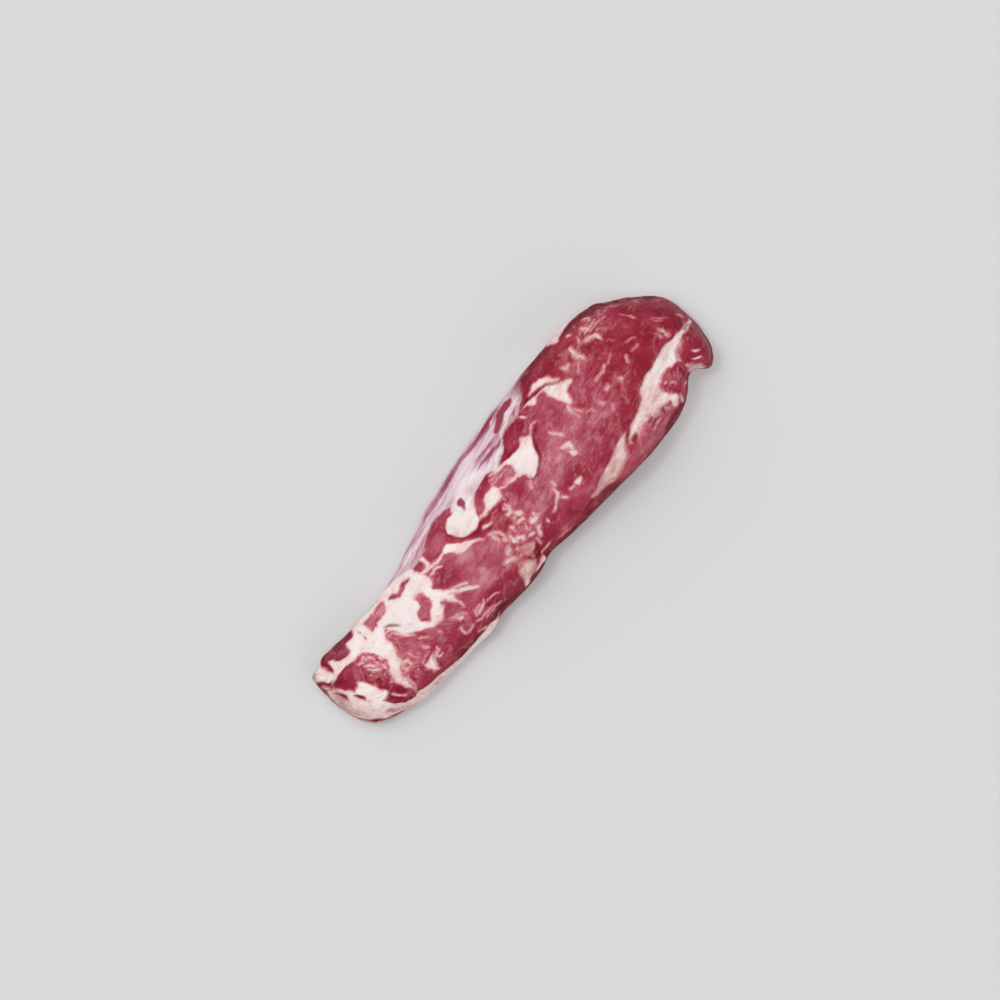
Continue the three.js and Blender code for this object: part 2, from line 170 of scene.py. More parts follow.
MIDDLE_FAT = [
    [(-25.5, 18.4), (-22.9, 20), (-19.8, 20.3), (-19, 21.9), (-17.2, 23.4), (-12, 25), (-7, 23),
     (-4, 20.4), (-5, 17.7), (-8.7, 15.4), (-11.8, 12.4), (-13.8, 8.8), (-16.5, 7.3), (-19.7, 7.1),
     (-23.5, 8.5), (-25.4, 10.2), (-27.2, 13.1), (-27.3, 15.9)],
    [(2.9, 13.6), (3.6, 10.2), (2.2, 7.6), (-0.5, 6.7), (-4.7, 7), (-10.4, 7.6), (-14.5, 7.6),
     (-13.6, 9.3), (-10.3, 9.4), (-7, 9.4), (-5.1, 12.3), (-1.9, 14)],
    Island([(-13.2, 22.3), (-11.4, 22.1), (-10.6, 20.5), (-12.3, 18.4), (-15.1, 16.5), (-14.3, 18.3),
            (-14.4, 19.7), (-14.7, 21.1)]),
    [(14.7, 16.6), (19.3, 15.8), (23, 15), (25.5, 14.9), (26.6, 17), (28.5, 17.9), (30.1, 16.1),
     (31.8, 14.9), (32.7, 13.8), (31, 12.4), (29.2, 10), (28.1, 8.4), (26.5, 4.7), (24.5, 3.1),
     (21.9, 2.3), (18.7, 1.3), (16.4, 1.2), (17.1, 3.4), (17, 4.9), (15.5, 5.8), (12.8, 6.7), (13.5, 8.5),
     (15.2, 11), (15.8, 13.1), (14.2, 14.2)],
    [(38.4, 16.7, 0.7), (36.6, 17.4, 0.6), (34.2, 16.5, 0.5), (32.6, 14.9, 0.7), (31, 14.1, 1.1)],
    [(17.1, 15.2, 1.2), (13.2, 16, 1), (9, 16.5, 0.7), (5.4, 17.5, 0.5)],
    [(13.5, 8, 0.9), (9, 8.7, 0.7), (5, 9.3, 0.6), (2.6, 10.2, 0.5)],
    [(8.9, 15.6, 0.2), (5, 15.6, 0.4), (3.2, 15.7, 0.3)],
    [(13, 13.5, 0.2), (7.4, 13.6, 0.4), (2.8, 13.9, 0.3)], [(11.1, 9.5, 0.2), (7, 10.2, 0.3)],
    [(17.2, 3.4, 0.8), (15.3, 1, 0.5), (13.6, -1.4, 0.6)],
    [(-15.5, 4.9, 0.7), (-13.7, 3.7, 0.9), (-11.6, 3.3, 0.6)],
    [(-0.6, 3.6, 0.5), (-0.1, 1.4, 0.9), (-1.3, -0.9, 1.1), (-3.4, 0, 1)],
    [(-2.4, 2.9, 0.5), (-1.7, 1.4, 0.5)], [(-0.4, -3.2, 1.2), (0.8, -4.8, 1.3)],
    [(-2.7, -3.2, 0.5), (-2.9, -5, 0.6)], [(-3.1, -6.7, 0.8), (-0.3, -7.5, 0.8)],
    [(-0.1, -9.7), (2.3, -9.5), (4.1, -10.6), (5.9, -11.7), (4.3, -13.4), (2.1, -13.9), (0.4, -12.6),
     (-0.5, -11.3)],
    [(5, -9.2, 0.6), (4.6, -10.4, 0.7), (6.4, -12, 0.5)],
    [(1.1, -14.6, 0.8), (-0.3, -16.6, 1), (-1.3, -18.6, 0.7)], [(2.4, -15.2, 0.5), (1.1, -16.2, 0.5)],
    [(6.1, -16.5, 0.6), (5.8, -17.7, 0.5)], [(-3, -10.5, 0.8), (-2.9, -11.7, 0.6)],
    [(-4.6, -14, 0.6), (-3.5, -15.3, 1), (-2.4, -16.1, 0.6)],
    [(-17, 0.3, 0.6), (-15.2, -0.9, 1.1), (-13, -2.6, 0.8), (-12, -4.8, 0.5)],
    [(-16.2, -1.3, 0.9), (-15.7, -3.5, 1.2), (-15.9, -5.4, 0.8)],
    [(-10.4, -7.4, 0.8), (-11.6, -10.1, 1.3), (-10.9, -12.1, 0.9)],
    [(-9.3, -10.8, 0.9), (-7.1, -12.5, 1.1), (-7.9, -13.6, 0.9)],
    [(-14.9, -9.8, 0.5), (-16.3, -11.3, 0.9), (-17.8, -12.1, 0.8)],
    [(-12.6, -8.4, 0.5), (-13.8, -6.6, 0.8), (-12.2, -6.2, 0.5)],
    [(-7.4, -5, 0.6), (-6.2, -6.6, 0.8), (-7.2, -8.2, 0.5)], [(-13.6, -13.6, 0.6), (-12.8, -15, 0.7)],
    [(-22, -13.8, 0.9), (-18.8, -15.1, 1.3), (-16.8, -16, 1)], [(-19.6, -15.7, 0.9), (-17.6, -17.1, 0.9)],
    [(-19.2, -18.9, 0.5), (-15.1, -18.1, 0.7), (-13.9, -18, 0.5)],
    [(-11, -15.7, 0.6), (-9.2, -16.8, 0.8), (-6.5, -18.1, 1)],
    [(-12, -18.7, 0.6), (-9.2, -19, 1), (-7.5, -18.9, 0.8)], [(-11.2, -21.9, 0.6), (-11.6, -23.5, 0.6)],
    [(-3.3, -17.7, 0.4), (-4.4, -20.7, 0.6)], [(21.6, -7, 0.8), (21.5, -8.4, 0.9), (21.6, -9.6, 0.5)],
    [(19.8, -9.4, 0.6), (19.4, -12.7, 1), (17, -13.8, 1), (14, -15, 0.9), (11.5, -16, 0.7)],
    [(-21.4, -21.1), (-19.2, -20.6), (-16, -20.2), (-14.4, -20.6), (-12.3, -23.7), (-13.5, -25.5),
     (-15.5, -26.2), (-18.4, -26.9), (-20.7, -27.8), (-24.1, -28.9), (-24.5, -27.9), (-22.4, -26.2),
     (-22, -24.6)],
    [(-8.4, -24.6), (-7.4, -26.3), (-8.4, -27.6), (-11.5, -27.6), (-14.6, -27.3), (-16.5, -27.1),
     (-14.7, -26.1), (-11.6, -25.5)],
    [(-7.6, -24.2, 0.3), (-4.2, -24, 0.4), (-1.1, -24.1, 0.3)],
    [(3.2, -25.8, 0.3), (6.5, -26.6, 0.4), (9.8, -27.4, 0.3)],
]

HEAD_FAT = [
    [(36.4, -0.3, 0.7), (38.3, -1.1, 1.3), (40.1, -2, 1.4), (40.3, -4.2, 1.1)],
    [(38.3, -4.6, 1.1), (39, -6.5, 1.5), (37.8, -6.6, 1)],
    [(38.8, 8.1, 0.7), (40.4, 5.9, 0.8), (41.8, 3.1, 0.8)], [(19.4, -15.1, 0.8), (20.1, -16.3, 0.9)],
    [(24.5, -16, 0.5), (25.9, -16.3, 0.7)], [(28.2, -16, 0.9), (29.5, -16.9, 1.4), (31.1, -16.8, 0.8)],
    [(31, -1.9, 0.5), (33.4, -2, 0.7)], [(59.2, -0.4, 0.6), (60.6, -1.8, 0.5)],
    [(64.3, -0.2, 0.6), (65.4, -3, 0.6)], [(66.2, -7.5, 0.7), (68, -6.4, 0.6)],
    [(36.3, 24.3, 0.5), (36.6, 22.9, 0.9), (37.2, 21.6, 0.5)],
    [(41.9, 25.9), (46, 25.3), (48.4, 24.2), (46.6, 22.3), (44.3, 21.9), (43, 23.7)],
    [(38, 25.2, 0.4), (40.4, 25.6, 0.6), (43, 25.4, 0.7)],
    [(47.6, 23.9, 0.7), (50, 23.7, 0.7), (52.4, 23.6, 0.9)],
    [(51.7, 24.2), (54.9, 24.6), (57.3, 22.6), (59.5, 20.2), (62.9, 19.2), (65.4, 16.6), (62.7, 15),
     (60.4, 15.2), (58.8, 13.6), (57.9, 10.9), (57.1, 9), (54.9, 8.6), (54.2, 10.9), (53.7, 14.2),
     (52.3, 17), (51.5, 19.8)],
    [(54, 9, 1.1), (52.8, 5.9, 0.8), (53.2, 2.6, 0.8)], [(54.9, 6.6, 0.6), (56.3, 3.7, 0.7)],
    [(46.4, 27, 0.5), (51.6, 27.3, 1.3), (54.8, 26.2, 1.4), (57.4, 23.9, 1), (60.4, 20.9, 0.7)],
    [(66.7, 23, 0.9), (67, 21.1, 1), (69.3, 22, 0.5)],
    [(75.7, 26.4, 0.8), (75.4, 23.6, 1.2), (74.9, 21, 1.4), (75.6, 19, 1.1), (76.9, 17.4, 0.5)],
    [(73, 18.6, 0.5), (70.1, 16.7, 0.5), (68.6, 15.9, 0.3)], [(79, 30.8, 0.5), (80.4, 30.2, 0.7)],
    [(82, 26.7, 0.3), (80.3, 24.5, 0.4)],
    [(85.9, 28.2, 0.8), (86.5, 26.5, 0.9), (88.1, 25.6, 0.9), (86.5, 24.8, 0.7), (84.9, 24.7, 0.5)],
    [(90.4, 29.6, 0.8), (92, 28.4, 0.8), (91.8, 26.9, 0.5)],
    [(88.1, 23.9, 0.4), (92.2, 23.7, 0.5), (97.2, 22.6, 0.4)],
    [(89.2, 25.2, 0.3), (91.6, 25.4, 0.4), (93.1, 25.3, 0.3)],
    [(83.2, 23, 0.8), (86, 21.7, 1), (87.8, 21.1, 0.9), (88.5, 18.6, 0.9), (88.1, 17, 0.4)],
    [(103.2, 24, 0.1), (104, 22.5, 0.35), (105.5, 21.1, 0.1)],
    [(111.6, 17.8, 0.1), (112.7, 16.5, 0.3), (112.7, 14.4, 0)], [(103.2, 18.4, 0), (104.2, 16.1, 0.25)],
    [(104.3, 15.7, 0), (105.3, 14, 0.35), (105.7, 11.8, 0.35)],
    [(108.7, -0.4, 0.4), (109.1, -2.4, 0.9), (108.5, -5.3, 0.8)], [(107.2, -2.2, 0.4), (106, -3.7, 0.5)],
    [(110.8, 5, 0), (113.2, 2.6, 0.2), (115.1, -0.1, 0)], [(110.6, 3.1, 0.2), (112.5, 1.2, 0.3)],
    [(94.8, 7.6, 0.1), (96.8, 6.7, 0.35), (99.1, 5.5, 0.1)],
    [(80.1, 8.7, 0.6), (77.3, 7.3, 0.6), (74.4, 7.2, 0.5), (71.3, 6.8, 0.3)],
    [(85.4, 9.6, 0.3), (81.9, 7.6, 0.2)], [(89.5, 2.9, 0.6), (87.8, 0.7, 0.4)],
    [(79.1, -0.7, 0.6), (80.4, -1.4, 0.9), (78.8, -3.1, 0.4)], [(73.1, 1.3, 0.7), (71.3, 0.8, 0.8)],
    [(93.3, 3, 0.2), (97.3, 2.4, 0.3)], [(119.6, -3, 0.2), (120.8, -5.8, 0.3)],
    [(68, 37), (71.2, 33.9), (74.6, 32.2), (76.2, 33.2), (80.7, 33.6), (86.2, 33.9), (89, 33.4), (88, 38)],
]

SEAM_FAT = [
    [(27.1, -25.6), (30.4, -25.8), (33.8, -25.2), (36.6, -24.1), (39.9, -22.5), (45.4, -21.9),
     (50.4, -20.5), (54.9, -18.8), (59.3, -18.4), (62.3, -18.5), (60.4, -20.2), (58.2, -22.4),
     (54.9, -25.8), (51.6, -28), (47.1, -29.4), (42.7, -29.5), (39.3, -29.4), (37.9, -28.3), (34.3, -27.2),
     (30.4, -26.9), (27.7, -26.4)],
    [(57.6, -23.7), (60.4, -21.7), (63, -20.4), (65.7, -19.4), (68.9, -18.4), (72.6, -17.3), (75.8, -16.3),
     (78.4, -15.2), (79.9, -13.2), (80.5, -11.5), (83.9, -11.1), (87.4, -9.6), (92.5, -9.6), (96, -8.6),
     (99.6, -7.8), (102.9, -7.4), (108.4, -8), (114, -8.3), (121.2, -8.2), (123, -8.8), (118.4, -10.3),
     (114, -11.6), (109.6, -13.3), (106.2, -14.7), (104, -16.6), (102.9, -17.7), (99.6, -17.4),
     (97.9, -15.8), (95.1, -15.2), (91.8, -15.6), (89.4, -17.2), (88, -19), (88.2, -21.4), (88.7, -23.7),
     (90.1, -25.4), (90.6, -26.8), (89, -29), (87.3, -30.4), (85.6, -30.4), (84.4, -29.2), (86, -27.2),
     (85.8, -25.8), (83.6, -25.9), (81.6, -25.2), (79.3, -25.5), (76, -25.7), (74.4, -25.4), (74.4, -24.3),
     (70.8, -24.3), (68.6, -24.1), (66.4, -24.4), (64.8, -26), (62.3, -26.5), (62.7, -25.4), (64.2, -24.4),
     (63.9, -23.2), (62.6, -23), (61, -23.9), (58.6, -24.6)],
    [(121.4, -9.2, 0.7), (118.6, -10.2, 1), (115.4, -10.7, 1.2)],
    [(104.8, -21.3), (105.9, -22.2), (107.2, -24.7), (109.3, -26), (109.6, -28.7), (109.6, -30.5),
     (107, -27.3), (104.4, -25.2), (102.4, -24.6), (103.2, -23)],
    [(91.1, -27.9, 0.4), (90.7, -29.6, 0.7), (90.5, -30.9, 0.4)],
    [(74.6, -25.6, 0.5), (73.2, -25.7, 0.5), (71.8, -25.8, 0.3)],
    [(77.3, -27.4, 0.3), (75.5, -27.3, 0.6), (73.2, -27.7, 0.5), (70.7, -28.2, 0.3)],
    [(82.5, -24.7, 0.3), (82, -26.6, 0.4), (83.2, -28.2, 0.3)],
    [(104.4, -20.6, 0.6), (105, -23, 1.6), (107.2, -25.6, 1.4)], [(111.5, -20.2, 0.4), (112.9, -21.3, 0.4)],
    [(109, -21.9, 0.6), (111, -23.6, 0.7)], [(91.5, -19.1, 0.5)], [(92.9, -20.8, 0.3), (94.6, -22.4, 0.4)],
    [(97.6, -22.4, 0.2), (98.4, -22.6, 0.2)], [(96.4, -26.4, 0.3), (97.6, -26.8, 0.3)],
]

# The layer of fat under the tail muscle, seen as a pale band along its lower edge.
UNDERLAYER_EDGE = [
    (-108, -12), (-104, -17), (-99, -20), (-92.4, -20.2), (-88, -21.7), (-82.4, -22.5), (-76, -23.8),
    (-68.9, -25.4), (-58.9, -25.7), (-48.9, -25.9), (-45.2, -27),
]

# The lower edge of the silverskin, which wraps the side above it.
SILVERSKIN_EDGE = [
    (-78, 21.6), (-62, 21.3), (-58, 20.7), (-55.3, 19.8), (-51.7, 18.7), (-48.3, 18.4), (-45, 18.3),
    (-42.4, 18.9), (-38.6, 21.1), (-34.5, 22.8), (-30.2, 24.3), (-25.7, 24.5), (-20.7, 24.2), (-18.4, 23.4),
    (-17.6, 19.2), (-15.3, 15.9), (-11.4, 12.9), (-9, 14.6), (-7, 16.6), (-3.6, 18), (2, 19), (5.3, 18.9),
    (9.1, 16.2), (11.6, 16.9), (14.9, 18.7), (18.1, 20), (20.8, 22), (22.3, 23.4), (24.7, 24.9),
    (30.2, 25.4), (34.5, 24.6), (37.1, 25.7), (40.9, 28), (44.9, 29.9), (46.7, 31.7), (49.5, 34.6),
]

# Red meat that lies bare in the silverskin.
WINDOWS = [
    [(40.6, 32.4), (39, 33.5), (36.4, 34), (33.2, 33.5), (30.3, 33.1), (27.1, 31.4), (23.9, 29.9),
     (22, 28.5), (23.1, 27.3), (26.1, 27.6), (29.6, 28.8), (32.8, 30.2), (35.9, 31.2), (38.7, 31.8)],
    [(-14.9, 21), (-12.8, 22.3), (-11, 21.8), (-10.7, 20.1), (-11.9, 18.7), (-13.9, 17.3), (-15.4, 16.8),
     (-14.4, 18.4), (-14.2, 19.6), (-15.3, 19.9)],
    [(30.2, 34.1, 0.2), (27, 34.1, 0.8), (22, 33.8, 0.8), (16, 33.2, 0.4), (11, 32.8, 0)],
    [(39, 29, 0.1), (36.5, 27.8, 0.4), (34.6, 26.6, 0.4)],
    [(19.5, 24.6, 0), (16.4, 24.3, 0.4), (11.5, 22.9, 0.4), (7, 21.4, 0)],
    [(18, 27.7, -0.3), (15, 27, 0), (12.2, 27.3, 0), (4.4, 26.2, -0.3)],
    [(-22.1, 30.3, -0.1), (-27.1, 29.9, 0.2), (-31.8, 27.9, 0.2), (-35, 27.9, 0)],
    [(-34.5, 23.4, 0), (-40.5, 21.9, 0.3), (-45.4, 21.1, 0.2), (-50.2, 20.3, -0.1)],
]
WHITE_STREAKS = [
    [(46.2, 32.4, 0.6), (42, 31, 0.7), (37.3, 29.4, 0.8), (32.8, 27.8, 0.9), (29.1, 26.7, 1),
     (24.7, 26, 0.8)],
    [(23.6, 24.7, 0.6), (20.1, 22.9, 0.8), (15.6, 21, 1), (11.5, 18.8, 0.9), (8.4, 18.2, 0.7)],
    [(46, 30.9, 0.3), (42.6, 29.3, 0.4), (39.1, 27.9, 0.5), (35.4, 25.4, 0.5)],
    [(31.1, 34.1, 0.3), (26.4, 33.1, 0.6), (22.4, 31.8, 0.6), (15.3, 29.9, 0.4)],
    [(43.9, 35.5, 0.3), (37.5, 35.6, 0.5), (31.2, 35.5, 0.4), (26, 35.8, 0.5), (18, 35.6, 0.5)],
    [(22.2, 26.8, 0.2), (18.9, 26.3, 0.4), (13, 25.4, 0.3)],
    [(-25, 25.6, 0.4), (-33, 25.2, 0.8), (-43.4, 23.6, 1), (-53.2, 22.4, 0.8)],
    [(-12, 25.4, 0.4), (-4, 24.2, 0.8), (3, 22.4, 0.6), (8, 20, 0.4)],
    [(-60, 24.4, 0.3), (-50, 24.6, 0.6), (-42, 26.4, 0.4)],
]

# Thin dark lines: painted shade in creases and gaps, and spots of dark meat.
DARK_LINES = [
    [(-119.6, 9.6, 0.1), (-119, 7.4, 0.4), (-118.6, 5.6, 0.6), (-118.5, 4, 0.3)],
    [(-114.7, 1.8, 0.3), (-114.1, 0.7, 0.7), (-113.6, -0.8, 0.7), (-113.3, -2.9, 0.3)],
    [(-122.8, 19.9, 0.3), (-121.1, 18.2, 0.7), (-118.9, 16.1, 0.8), (-117.8, 13.8, 0.4)],
    [(-124.4, 18.6, 0.3), (-122.8, 16.2, 0.5), (-122.2, 14.2, 0.6), (-122.6, 11, 0.5), (-123.4, 6, 0.2)],
    [(-123.6, -4, 0.3), (-121.8, -9.8, 0.5), (-118.4, -14.8, 0.7), (-113.6, -18.2, 0.6),
     (-108, -21.4, 0.3)],
    [(-108, -10, 0.2), (-106.4, -13.4, 0.5), (-102.4, -17.4, 0.6), (-98, -19.6, 0.6), (-94.5, -18.6, 0.4)],
    [(-104.8, -12, 0.2), (-103.2, -14.4, 0.5), (-101.2, -16.6, 0.3)],
    [(-113, 16.6, 0.3), (-112.4, 20, 0.6), (-112.8, 23, 0.3)],
    [(-116.4, 12.4, 0.3), (-110, 13, 0.5), (-104, 12.4, 0.3)],
    [(-81.6, 11.4, 0.1), (-79.7, 10.3, 0.5), (-77.5, 8.1, 0.5), (-76, 6, 0.1)],
    [(-90.9, 19.2, 0), (-90.6, 17.6, 0.1)], [(-90.5, 16.1, 0), (-91, 14.5, 0.3)],
    [(-82.2, -13.9, 0.2), (-79.5, -13.3, 0.4), (-76.4, -12.7, 0.2)],
    [(-46.4, -6.9, -0.1), (-43, -9, 0.1), (-40.6, -11, -0.1)],
    [(-46.2, -3.4, -0.1), (-43, -5.4, 0.1), (-41, -7.2, -0.1)],
    [(-17.3, -28.2, 0.3), (-11.8, -28, 0.7), (-8.7, -28.1, 0.5)],
    [(-4.8, -20.2, 0.4), (-6.8, -20.9, 0.8), (-7, -22.8, 0.9), (-9, -23.6, 0.6)],
    [(58.2, -22.6, 0.2), (60.8, -20.8, 0.5), (64, -19.2, 0.2)],
    [(64.4, -23.4, 0.3), (62.8, -24.1, 0.6), (61, -24.6, 0.6)],
    [(76.8, -27, 0.2), (74.8, -26.5, 0.5), (72.6, -26.9, 0.5), (71.3, -27.2, 0.2)],
    [(74.8, -24.5, 0.2), (73.2, -24.7, 0.4), (72, -24.8, 0.2)],
    [(71.3, -19.6, -0.5), (72.6, -20.6, -0.2), (74.1, -22.4, -0.3)],
    [(80.3, -18.9, -0.6), (81.7, -19.8, -0.35), (83.5, -21.9, -0.35), (84.5, -23.5, -0.6)],
    [(81.9, -25.8, 0.2), (80.9, -26.3, 0.7), (80.3, -27.5, 0.4)],
    [(36, 25, 0), (42.7, 26.4, 0.2), (47.9, 26, 0.2), (51.6, 25, 0.2), (55.5, 23.9, 0.2), (58, 21.2, 0.2),
     (62.4, 19.4, 0.1), (66, 17, -0.2)],
    [(39, 16.2, 0.2), (33, 13.8, 0.4), (29.6, 9.4, 0.5), (27.4, 5, 0.4), (22, 1.8, 0.2)],
    [(83.4, 24.8, 0.2), (87, 24.1, 0.3)], [(88.4, 23, 0.15), (95, 22.7, 0.2)],
    [(22, -26.8, 0.3), (24.6, -27, 0.6), (27.6, -27.2, 0.4)],
    [(-16.2, 2.6, 0.2), (-14, 2, 0.5), (-12.6, 1.8, 0.2)], [(-14.6, -0.6, 0.3)],
    [(107.4, -3, 0.3), (108.6, -3.6, 0.4)],
]

# Folds: the tissue on the left of each line, walking along it, stands over that on its right.
FOLDS = [
    (1.5, [(-108.2, -10), (-106.2, -14), (-102.4, -17.8), (-97.4, -19.8), (-94.5, -18.8), (-92.4, -19.9),
           (-88, -21.4), (-82.4, -22.2), (-76, -23.3), (-68.9, -24.9), (-58.9, -25.2), (-48.9, -25.3),
           (-44, -26.8)]),
    (1.3, [(-19, 20.6), (-22.9, 20.3), (-25.7, 18.7), (-27.6, 15.9), (-27.5, 13), (-25.7, 10),
           (-23.6, 8.2), (-19.7, 6.8), (-14.5, 7.2), (-8, 6.9), (-0.3, 6.3)]),
    (0.45, [(-23, -15), (-19, -9), (-17.4, -4), (-19, 0.6), (-22.5, 5), (-27, 9.2), (-30, 12.2),
            (-33, 13.4)]),
    (0.9, [(32, 24), (35.7, 25.3), (39.9, 26.9), (43.8, 26.7), (47.1, 25.9), (50.4, 25.3), (53.8, 25.1),
           (56, 23.4), (57.7, 21.4), (59.3, 20.1), (62.1, 19.5), (66, 17)]),
    (1.0, [(14, 7), (16, 3), (17.9, 1), (21.6, 2.2), (25.6, 3.4), (28, 5.8), (29.7, 10), (31, 12.3),
           (34.9, 14.4), (39.6, 16.6)]),
    (1.1, [(30, -24.2), (40, -22.2), (50.4, -20.2), (58, -18.2), (66, -17.8), (75, -15.2), (79.5, -11.8),
           (86.5, -8.8), (96, -8.2), (103, -6.6), (114, -8), (122, -8)]),
    (1.2, [(122.5, -9.4), (118.4, -10.4), (109.6, -13.5), (104, -17), (101.5, -20.6), (100.6, -24.6)]),
    (0.6, [(28.8, 15.5), (24.3, 15), (16.9, 15.8), (11, 17)]),
    (0.6, [(8, 16.8), (11.5, 17.6), (17.1, 20.7), (21.6, 23.4), (26, 24.7), (32.7, 26.5), (40, 28.4)]),
    (0.9, [(-72.6, -16.8), (-75.5, -15.2), (-78, -15.8), (-79.2, -18.5), (-79.5, -20.8)]),
    (0.5, [(-82.4, -14), (-79, -13.2), (-76, -12.6)]),
    (1.3, [(-123.6, 20.8), (-121.2, 18.6), (-119, 16.6), (-117.4, 14.4), (-114, 14.6)]),
    (1.0, [(-7.3, -26), (-8, -24.4), (-11, -24.3), (-13.6, -20.6), (-15.9, -19.1), (-19.3, -19.4),
           (-22.2, -21.1), (-22.6, -24)]),
    (0.5, [(-6, -23), (0, -20.2), (8, -17.8), (10.8, -16.4), (14.4, -15), (18.4, -13.8), (21.4, -11)]),
    (0.6, [(-39.8, 13.6), (-33, 14), (-29.8, 12.8)]),
    (0.6, [(-120.6, 11), (-118.9, 8.2), (-118, 5.9), (-118, 3.4), (-119, 2)]),
    (0.7, [(-115.8, 3.6), (-114, 1), (-113.4, -0.8), (-113.2, -3), (-114.4, -4.4)]),
    (0.5, [(-119.7, -11.4), (-114.3, -10.8), (-108.6, -11), (-106.5, -12.4)]),
    (0.8, [(-103, 12.4), (-109, 13.4), (-115, 12.8), (-118.4, 12)]),
    (0.7, [(-107, -9.6), (-104.6, -5), (-105, -0.6), (-106.6, 4.4)]),
]

# Tones spread round their places: (x, y, reach along X, reach along Y, value).
SKIN_TONES = [ # 0 purple meat showing through, 1 white
    (50, 34, 4, 4, 0.25), (43, 31, 4, 2, 0.6), (32, 36, 8, 1.6, 0.35), (34, 29, 8, 1.4, 0.9),
    (20, 30.5, 8, 1.4, 0.6), (23, 33.8, 5, 1.6, 0), (13, 32.8, 5, 1.6, 0.15), (20, 36, 8, 0.6, 0.7),
    (17, 28.6, 5, 0.9, 0.65), (12, 27, 6, 0.9, 0.25), (14, 23.9, 6, 0.9, 0.1), (-13, 18.5, 3, 3, 0.95),
    (16, 21, 5, 1, 0.85), (10, 18, 4, 1.4, 0.85), (5, 29.5, 8, 1.6, 0.8), (8, 26.2, 4, 1, 0.4),
    (-3, 28, 8, 2, 0.9), (-3, 23.4, 6, 2, 1), (3, 20.6, 5, 1.4, 0.9), (4, 33, 10, 1.2, 0.1),
    (-10, 31.4, 9, 1.2, 0.1), (-13, 26.6, 8, 1.6, 0.7), (-22, 29.6, 6, 1, 0.2), (-28, 27, 9, 1.4, 0.65),
    (-40, 26.6, 9, 2, 0.4), (-55, 24, 10, 3, 0.55),
]
PURPLES = [ # 0 crimson, 1 purple
    (-104, 20, 9, 4, 1), (-62, 17, 8, 2, 1), (-55, -9, 5, 4, 0.7), (-43, 5, 7, 4, 0.4), (13, -8, 7, 6, 0.4),
    (75, -29, 12, 2, 0.5), (-98, 3, 7, 12, 0), (-70, -14, 12, 5, 0.3), (-79, 17, 5, 3, 0),
    (-62, 2, 5, 6, 0),
]
MEAT_TONES = [ # 0 deep crimson, 1 pale pink
    (-106, 8, 10, 6, 0.26), (-101, -12, 5, 7, 0.22), (-99, 7, 5, 3.5, 1.0), (-82, 7, 2, 3, 0.95),
    (-104, 20, 9, 4, 0.36), (-83, 18, 4, 3, 0.55), (-76, 18, 3, 3, 0.95), (-81, 6, 4, 4, 0.74),
    (-82, -5, 7, 6, 0.62), (-86, -15, 7, 5, 0.4), (-70, -14, 12, 5, 0.55), (-62, -8, 8, 4, 0.6),
    (-60, -22, 22, 2.5, 0.28), (-55, -8, 5, 5, 0.55), (-62, 2, 6, 5, 0.68), (-48, 16, 4, 3, 0.45),
    (-43, 4, 8, 5, 0.46), (-35, 5, 3, 4, 0.42), (-38, 17, 7, 4, 0.72), (-27, 22, 7, 2.5, 0.45),
    (-31, -5, 11, 9, 0.8), (-33, 3.5, 4, 2.5, 1.2), (-36, 8, 3, 2, 1.0), (-32, -22, 12, 4, 0.25),
    (-46, -19, 9, 3, 0.5), (-28, 14, 2, 6, 0.34), (-12, 4, 8, 4, 0.36), (-6, -2, 5, 4, 0.4),
    (-8, -12, 12, 6, 0.62), (13, -6, 7, 7, 0.82), (6, 4, 6, 3, 0.46), (9, 12, 5, 3, 0.62),
    (3, -20, 9, 3, 0.2), (14, -20, 10, 3, 0.42), (4, -25, 14, 2.5, 0.4), (24, 21, 8, 4, 0.26),
    (38, 9, 8, 8, 0.62), (47, 10, 5, 9, 0.6), (42, -3, 13, 7, 0.76), (28, 1, 9, 7, 0.84),
    (36, -15, 20, 3, 0.42), (26, -21, 14, 3, 0.5), (59, 2, 8, 7, 0.62), (62, -11, 10, 3, 0.4),
    (70, 11, 8, 7, 0.5), (81, 0, 12, 8, 0.44), (96, 12, 12, 9, 0.3), (84, 20, 14, 7, 0.36),
    (60, 31, 14, 4, 0.34), (80, 31, 14, 3, 0.4), (108, 8, 7, 11, 0.24), (117, 2, 5, 9, 0.3),
    # The tone at (-30.8, -7.5) on the next line is a painted highlight: a small pale spot on the lobe
    (92, -4, 13, 4, 0.26), (95, -21, 6, 5, 0.42), (113, -20, 6, 8, 0.36), (-30.8, -7.5, 1.1, 1.1, 1.6),
    (58, -32, 20, 3.5, 0.7), (75, -28, 9, 2.5, 0.56), (34, -30, 7, 2.5, 0.08), (88, -31, 8, 2, 0.36),
    (14, 18, 6, 2, 0.2),
]
